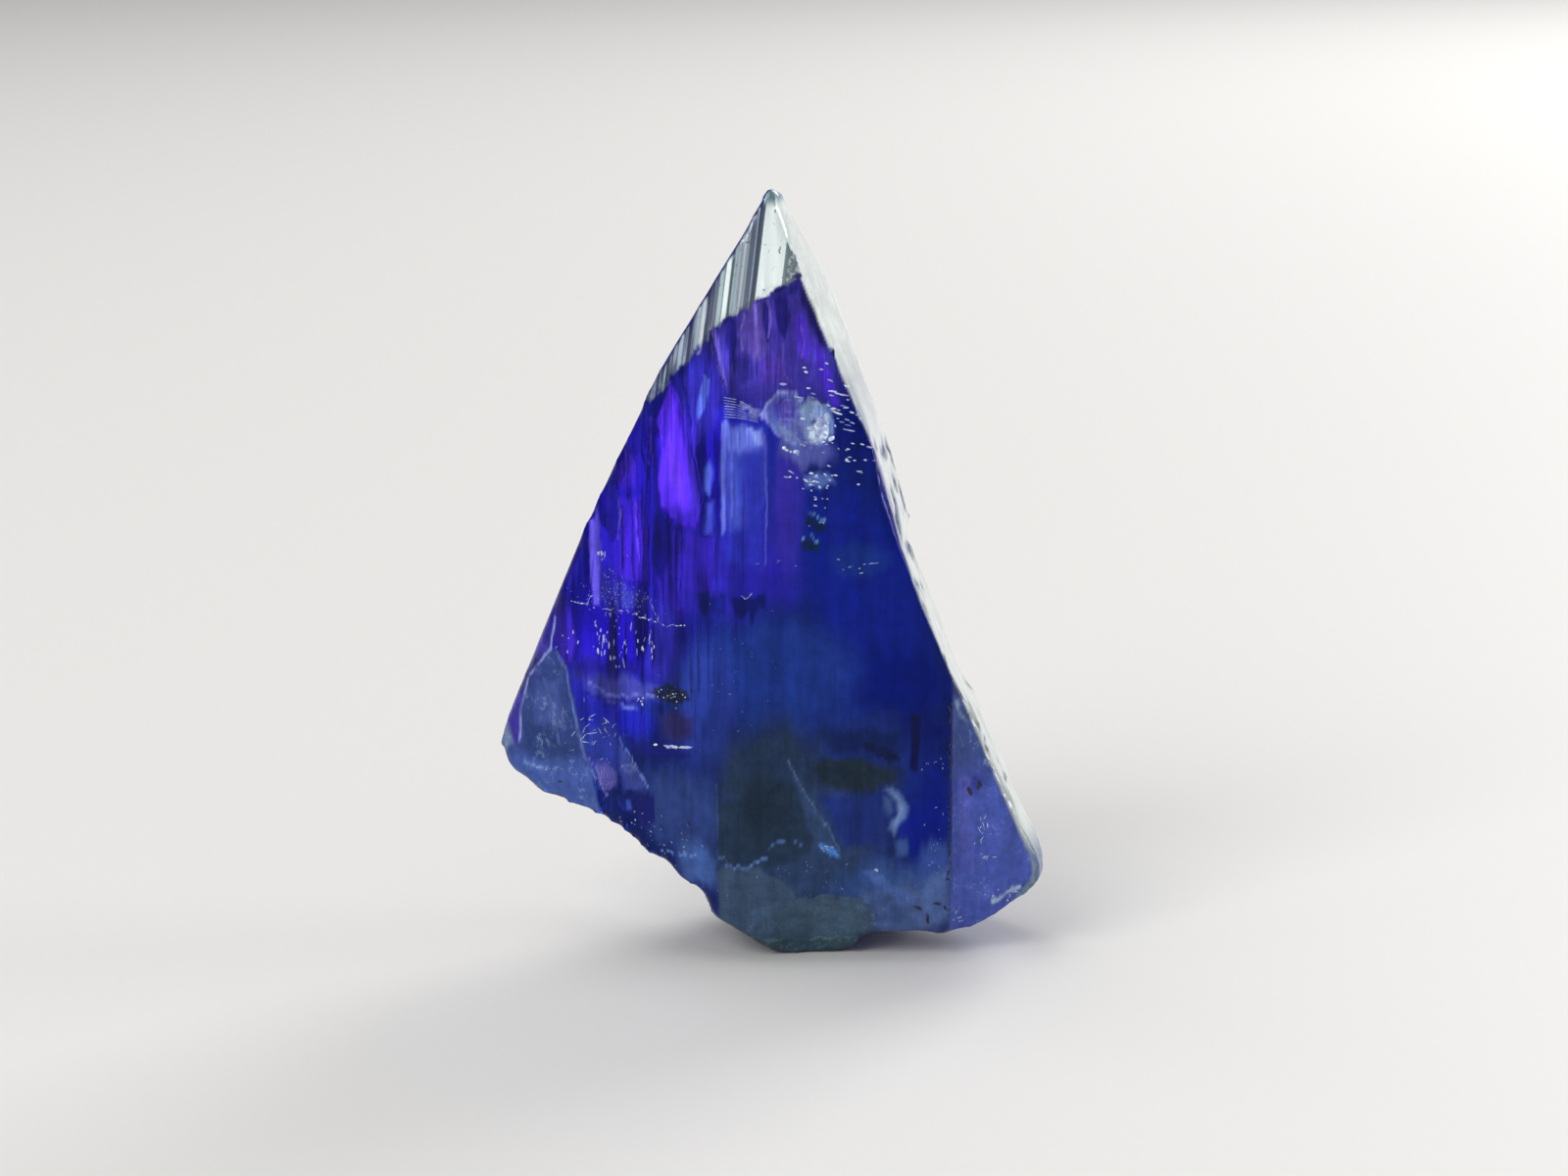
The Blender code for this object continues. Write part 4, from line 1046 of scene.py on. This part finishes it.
# Middle x and z, spread in x and z, lean and its sway, how many, half length and height, shine, which sets how
# bright the lenses are painted (a painted highlight).
SPARKS = {
    "right of the veil": ((2.0, 24.9), (0.6, 1.3), -14, 7, 42, 0.24, 0.040, 0.9),
    "rows right of the veil": ((1.6, 25.6), (0.5, 0.6), -12, 6, 16, 0.30, 0.050, 1.0),
    "over the veil": ((0.5, 26.7), (0.6, 0.5), -10, 6, 10, 0.36, 0.060, 1.0),
    "bright patch": ((0.62, 24.7), (0.26, 0.34), 35, 45, 16, 0.26, 0.13, 1.0),
    "fine in the patch": ((0.55, 24.7), (0.40, 0.55), 20, 60, 14, 0.12, 0.045, 0.8),
    "in the veil": ((-0.6, 25.2), (0.5, 0.5), 0, 60, 6, 0.12, 0.016, 0.3),
    "under the patch": ((0.35, 22.5), (0.55, 0.25), -15, 15, 26, 0.18, 0.060, 1.0),
    "between the boxes": ((0.5, 21.3), (0.40, 0.50), -10, 10, 12, 0.11, 0.035, 0.7),
    "blue row": ((2.1, 18.6), (0.7, 0.20), 0, 10, 9, 0.16, 0.030, 0.2),
    "pale row": ((-1.0, 18.65), (0.7, 0.15), 0, 8, 4, 0.14, 0.025, 0.2),
    "left glints": ((-9.1, 14.3), (0.45, 0.45), 86, 8, 11, 0.34, 0.050, 0.9),
    "left fine glints": ((-8.4, 14.6), (0.90, 0.70), 86, 8, 26, 0.18, 0.026, 0.6),
    "right of the left glints": ((-7.3, 14.3), (0.40, 0.70), 86, 8, 12, 0.28, 0.036, 0.8),
    "left high glints": ((-8.9, 15.4), (0.50, 0.25), 75, 12, 10, 0.14, 0.024, 0.6),
    "far left glints": ((-10.9, 14.8), (0.3, 0.4), 84, 8, 5, 0.14, 0.030, 0.5),
    "left veil glints": ((-9.2, 18.7), (0.10, 0.22), 80, 15, 7, 0.20, 0.050, 0.8),
    "left veil specks": ((-8.4, 16.7), (0.85, 0.35), 20, 70, 110, 0.085, 0.012, 0.45),
    "left veil high specks": ((-8.9, 17.5), (0.45, 0.50), 60, 70, 40, 0.09, 0.012, 0.35),
    "among the dark specks": ((-6.1, 12.5), (0.4, 0.22), 20, 60, 16, 0.08, 0.040, 1.0),
    "left of the dark specks": ((-7.5, 12.1), (0.2, 0.15), 20, 60, 8, 0.10, 0.050, 0.8),
    "short dash": ((-6.05, 10.08), (0.30, 0.03), 0, 6, 18, 0.26, 0.060, 1.0),
    "low left scratches": ((-9.6, 10.6), (0.5, 0.7), 60, 40, 34, 0.26, 0.022, 0.6),
    "pink patch fibres": ((-9.1, 8.35), (0.28, 0.35), 82, 15, 24, 0.16, 0.016, 0.35),
    "low left sparks": ((-7.6, 6.3), (0.7, 0.4), -30, 40, 14, 0.08, 0.030, 0.7),
    "low flecks": ((-6.0, 5.4), (0.9, 0.6), -20, 40, 26, 0.09, 0.018, 0.4),
    "side lobe scratches": ((8.0, 6.3), (0.18, 0.6), 75, 30, 14, 0.16, 0.028, 0.6),
    "side lobe low scratches": ((8.3, 4.9), (0.25, 0.12), 15, 25, 8, 0.14, 0.028, 0.6),
    "side lobe foot": ((9.0, 3.0), (0.4, 0.12), 15, 15, 16, 0.16, 0.045, 0.8),
    "side lobe corner": ((6.9, 1.9), (0.12, 0.12), 60, 30, 6, 0.12, 0.050, 0.8),
    "marks right of the bar": ((5.8, 9.6), (0.25, 0.2), 80, 15, 8, 0.14, 0.022, 0.3),
    "by the lobe line": ((5.9, 5.5), (0.25, 0.9), 70, 30, 14, 0.10, 0.020, 0.35),
    "corner glint": ((3.2, 4.5), (0.06, 0.04), 30, 10, 4, 0.13, 0.055, 1.0),
    "blue triangle": ((1.0, 5.55), (0.22, 0.06), -20, 8, 8, 0.20, 0.030, 0.7),
    "specks in the middle": ((-3.6, 14.0), (1.6, 1.6), 30, 60, 26, 0.07, 0.012, 0.2),
    "specks low": ((0.5, 4.0), (2.5, 1.0), 10, 60, 36, 0.08, 0.012, 0.2),
}

rng = random.Random(21)
for (cx, cz), (sx, sz), lean, sway, count, length, height, shine in SPARKS.values():
    for _ in range(count):
        turned = lean + rng.gauss(0, sway)
        at = under_front(rng.gauss(cx, sx), rng.gauss(cz, sz), rng.uniform(-0.02, 0.005), turned)
        big = 0.3 + 0.7 * rng.random() ** 2
        lens(cracks, at, (length * big, DASH_THICK, height * rng.uniform(0.6, 1.1)), rng, 0.5, shine=shine)
print(len(SPARKS), "groups of dashes,", len(cracks.faces), "faces")

# %% [markdown]
# A healed crack that is met edge-on is a thin pale line. It is laid as a chain of lenses that
# follows a path over the front, each a little off the line, so that it looks torn and not drawn.
# Beside the bright patch is a comb: eight fine lines under each other that close towards the right.
# A tooth of it is three long, smooth lenses end to end.

# %% Crack lines
LINK, LINK_DEPTH = 0.14, -0.01  # length and depth of the lenses in a chain, in mm
WANDER, LINK_SWAY = 0.03, 12  # how far they stray from the path, in mm and in degrees
GAPS = 0.25  # the share of a crack line that is left out
TEETH, TOOTH_DROP = 8, 0.125  # teeth of the comb, and how far each lies under the last
TOOTH_DEPTH, TOOTH_HALF = -0.005, 0.02
# Places x and z of the comb's top tooth, and the share of the drop that each takes.
COMB_TOP = ((-3.65, 26.1, 1.0), (-3.1, 26.02, 0.92), (-2.6, 25.78, 0.75), (-2.15, 25.45, 0.5))
# Half height of the line, its places x, z in turn.
BRIGHT_LINES = {
    "left veil edge": (0.03, (-10.6, 16.45), (-9.3, 16.2), (-8.2, 16.15), (-7.0, 15.9), (-6.3, 15.65),
        (-5.4, 15.75)),
    "left veil branch low": (0.02, (-9.9, 16.3), (-9.7, 16.7), (-9.4, 16.8), (-9.3, 16.4)),
    "left veil branch": (0.02, (-6.6, 15.8), (-6.8, 16.3), (-7.1, 17.0)),
    "patch underline": (0.14, (-1.05, 23.9), (-0.75, 23.66), (-0.30, 23.7)),
    "patch upper line": (0.035, (-0.3, 23.95), (0.4, 24.05), (1.25, 24.1)),
    "facet line": (0.02, (-12.5, 8.4), (-11.9, 8.35), (-11.3, 8.5), (-10.9, 8.45)),
    "small hook": (0.02, (-3.0, 17.3), (-2.7, 17.1), (-2.4, 17.35)),
}


def chain(bm, path, height, rng):
    """Lays lenses along a path of x, z places (mm) on the front, with gaps."""
    for (x0, z0), (x1, z1) in zip(path, path[1:]):
        steps = max(1, round(math.hypot(x1 - x0, z1 - z0) / LINK))
        lean = math.degrees(math.atan2(z1 - z0, x1 - x0))
        for step in range(steps):
            share = (step + rng.uniform(0.2, 0.8)) / steps
            if rng.random() < GAPS:
                continue
            at_x, at_z = x0 + (x1 - x0) * share, z0 + (z1 - z0) * share + rng.gauss(0, WANDER)
            at = under_front(at_x, at_z, LINK_DEPTH, lean + rng.gauss(0, LINK_SWAY))
            lens(bm, at, (LINK * rng.uniform(0.3, 0.9), DASH_THICK, height * rng.uniform(0.4, 1.2)), rng, 0.5)


for height, *path in BRIGHT_LINES.values():
    chain(cracks, path, height, rng)
for tooth in range(TEETH):
    path = [(place_x, place_z - share * (TOOTH_DROP * tooth)) for place_x, place_z, share in COMB_TOP]
    for (x0, z0), (x1, z1) in zip(path, path[1:]):
        lean, half = math.degrees(math.atan2(z1 - z0, x1 - x0)), 0.55 * math.hypot(x1 - x0, z1 - z0)
        at = under_front((x0 + x1) / 2, (z0 + z1) / 2, TOOTH_DEPTH, lean)
        lens(cracks, at, (half, DASH_THICK, TOOTH_HALF), rng, 0.1, fine=2, shine=0.35)
bright_cracks = piece_from(cracks, "bright_cracks")
print("bright cracks:", len(bright_cracks.data.polygons), "faces")

# %% [markdown]
# Veils are cracks seen face-on: thin, wavy, see-through sheets. Each is one very flat lens with a
# wavy outline, and its finish fades towards the rim. Dark crystals are small rough lenses: a few
# have their own places, and the rest are strewn along the lobe's edge and over the dark patch.

# %% Veils and dark crystals
VEIL_THICK = 0.04  # half of it, in mm
# Middle x and z, half width and half height, lean, depth (mm).
PALE_VEILS = {
    "veil head": ((-0.4, 25.1), (1.25, 1.1), -20, 0.03),
    "glassy round": ((-7.9, 8.9), (0.45, 0.55), -40, 0.03),
}
# Middle x and z, half width, half height (mm), lean.
DARK_MARKS = (
    ((5.1, 2.55), 0.24, 0.08, -25),
    ((5.52, 2.05), 0.07, 0.30, 0),
    ((5.95, 2.8), 0.20, 0.08, -10),
    ((6.3, 2.6), 0.08, 0.14, 20),
    ((7.35, 8.05), 0.10, 0.28, 20),
    ((7.8, 8.3), 0.10, 0.24, -10),
    ((-11.2, 7.85), 0.14, 0.05, 15),
    ((-5.3, 6.6), 0.05, 0.10, 20),
    ((-0.9, 6.0), 0.03, 0.12, 10),
)
EDGE_CRYSTALS, PATCH_CRYSTALS = 46, 26

for (cx, cz), (half_width, half_height), lean, depth in PALE_VEILS.values():
    lens(pale, under_front(cx, cz, depth, lean), (half_width, VEIL_THICK, half_height), rng, 0.4, fine=4)
for (cx, cz), half_width, half_height, lean in DARK_MARKS:
    lens(dark, under_front(cx, cz, 0.0, lean), (half_width, DASH_THICK, half_height), rng, 0.9, fine=2)
for _ in range(EDGE_CRYSTALS):
    at = under_front(LOBE_X - 0.12 + rng.gauss(0, 0.05), rng.uniform(2.4, 12.4), 0.0, 90 + rng.gauss(0, 30))
    lens(dark, at, (rng.uniform(0.05, 0.2), DASH_THICK, rng.uniform(0.02, 0.06)), rng, 0.6)
for _ in range(PATCH_CRYSTALS):
    at = under_front(rng.gauss(-6.05, 0.45), rng.gauss(12.5, 0.25), 0.0, rng.uniform(0, 180))
    lens(dark, at, (rng.uniform(0.04, 0.14), DASH_THICK, rng.uniform(0.03, 0.07)), rng, 0.6)
pale_veils = piece_from(pale, "pale_veils")
dark_crystals = piece_from(dark, "dark_crystals")
for piece in (pale_veils, dark_crystals):
    piece.data.shade_smooth()
    print(piece.name, "has", len(piece.data.polygons), "faces")

# %% [markdown]
# ## Finishes for what is inside
# A crack holds a film of air, so it throws light back like pale silver. Some lenses are painted brighter than
# others, a painted highlight for cracks that face the light better, so the glow kept on each lens mixes two
# tones.

# %% Crack
crack = Finish("silvery_crack")
place = crack.place()
bright = crack.grain(place, (0.3, 0.3, 0.3)).over(0.35, 0.65) * 0.3 + crack.attribute("glow") * 0.7
crinkled = crack.grain(place, (0.05, 0.05, 0.08), 2.0)
crack.put_on(bright_cracks, crack.surface({
    "Base Color": crack.mix(bright.clamped(), (0.14, 0.18, 0.5, 1), (0.82, 0.92, 1.0, 1)),
    "Roughness": 0.18 + crinkled * 0.15,
    "Metallic": 0.1,
    "Normal": crack.bump(crinkled, 0.004),
}))

# %% [markdown]
# A veil is the same kind of film, but so thin that most light passes it. Its Alpha comes from a
# feathery grain and is highest at the rim, where the film curls up.

# %% Veil
veil = Finish("feathery_veil")
place = veil.place()
feather = veil.grain(place, (0.9, 0.9, 0.22), 3.0, 0.5) * 0.5 + veil.grain(place, (0.4, 0.4, 0.4), 3.0, 0.6) * 0.5
veil_rim = 1 - veil.attribute("cover").over(0.05, 0.45)
veil.put_on(pale_veils, veil.surface({
    "Base Color": (0.55, 0.62, 0.9, 1),
    "Roughness": 0.35 + feather * 0.2,
    "Alpha": (feather.over(0.45, 0.6) * 0.16 + veil_rim * feather.over(0.4, 0.6) * 0.25 + 0.03).clamped(),
    "Normal": veil.bump(feather, 0.01),
}))

# %% [markdown]
# The dark crystals are graphite, which is nearly black with a soft sheen. They fade at the rim, as
# the glass in front of them blurs their border.

# %% Graphite
graphite = Finish("graphite")
place = graphite.place()
sheen = graphite.grain(place, (0.2, 0.2, 0.2)).over(0.4, 0.7)
thick = graphite.grain(place, (0.5, 0.5, 0.3)) * 0.8 + 0.45
flaky = graphite.grain(place, (0.08, 0.08, 0.03), 2.0)
graphite.put_on(dark_crystals, graphite.surface({
    "Base Color": graphite.mix(sheen, (0.006, 0.008, 0.016, 1), (0.02, 0.028, 0.04, 1)),
    "Roughness": 0.3 + flaky * 0.2,
    "Alpha": (graphite.attribute("cover").over(0.05, 0.7) * thick).clamped(),
    "Normal": graphite.bump(flaky, 0.006),
}))

# %% [markdown]
# The stone is one body, and what is inside it belongs to that body.

# %% Give the inner pieces to the stone's body
for piece in (bright_cracks, pale_veils, dark_crystals):
    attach(piece, "root")

# %% [markdown]
# ## Floor and light
# The stone stands on a plain pale floor that reaches past the edge of the view. It is one round sheet with a
# faint grain.

# %% Floor
FLOOR_RADIUS = 2.0

bm = bmesh.new()
bmesh.ops.create_circle(bm, cap_ends=True, segments=64, radius=FLOOR_RADIUS)
floor = piece_from(bm, "floor")
matt = Finish("pale_floor")
paper = matt.grain(matt.place(), (0.8, 0.8, 0.8), 3.0)
matt.put_on(floor, matt.surface({
    "Base Color": matt.mix(paper, (0.775, 0.76, 0.735, 1), (0.785, 0.77, 0.745, 1)),
    "Roughness": 0.55 + paper * 0.1,
    "Normal": matt.bump(paper, 0.01),
}))

# %% [markdown]
# Four soft lights go round the stone: a large one at the front left makes the scrap of skin shine,
# one behind sends light through the stone, a small one on the right whitens the chipped side, and
# one from above softens the shadows. None of them is seen by the camera. A dim pale sky fills in.

# %% Light
SKY_COLOUR, SKY_STRENGTH = (0.95, 0.97, 1.0, 1), 0.28
AIMED_AT = Vector((0, 0, 0.015))
LIGHTS = {  # place (m), width (m), power (W)
    "front_light": ((-0.35, -0.50, 0.42), 0.40, 3.0),
    "back_light": ((0.30, 0.48, 0.28), 0.30, 1.9),
    "side_light": ((0.45, 0.05, 0.10), 0.16, 0.6),
    "top_light": ((-0.25, 0.05, 0.6), 0.5, 1.5),
}

world = bpy.data.worlds.new("soft_light")
scene.world = world
world.use_nodes = True
sky = world.node_tree.nodes["Background"].inputs
sky["Color"].default_value = SKY_COLOUR
sky["Strength"].default_value = SKY_STRENGTH
for name, (at, size, power) in LIGHTS.items():
    light = bpy.data.lights.new(name, "AREA")
    light.shape = "SQUARE"
    light.size = size
    light.energy = power
    lamp = bpy.data.objects.new(name, light)
    lamp.location = at
    lamp.rotation_euler = (Vector(at) - AIMED_AT).to_track_quat("Z", "Y").to_euler()
    lamp.visible_camera = False
    scene.collection.objects.link(lamp)
print(len(LIGHTS), "lights")

# %% [markdown]
# Light bends at each wall of the stone and of the lenses in it, so a ray needs many bounces before
# it is out again. The plain Standard view shows colours as they were painted.

# %% Bounces and view
scene.view_settings.view_transform = "Standard"
scene.cycles.max_bounces = 24
scene.cycles.transmission_bounces = 20
scene.cycles.transparent_max_bounces = 16
scene.cycles.caustics_reflective = False
scene.cycles.blur_glossy = 0.5
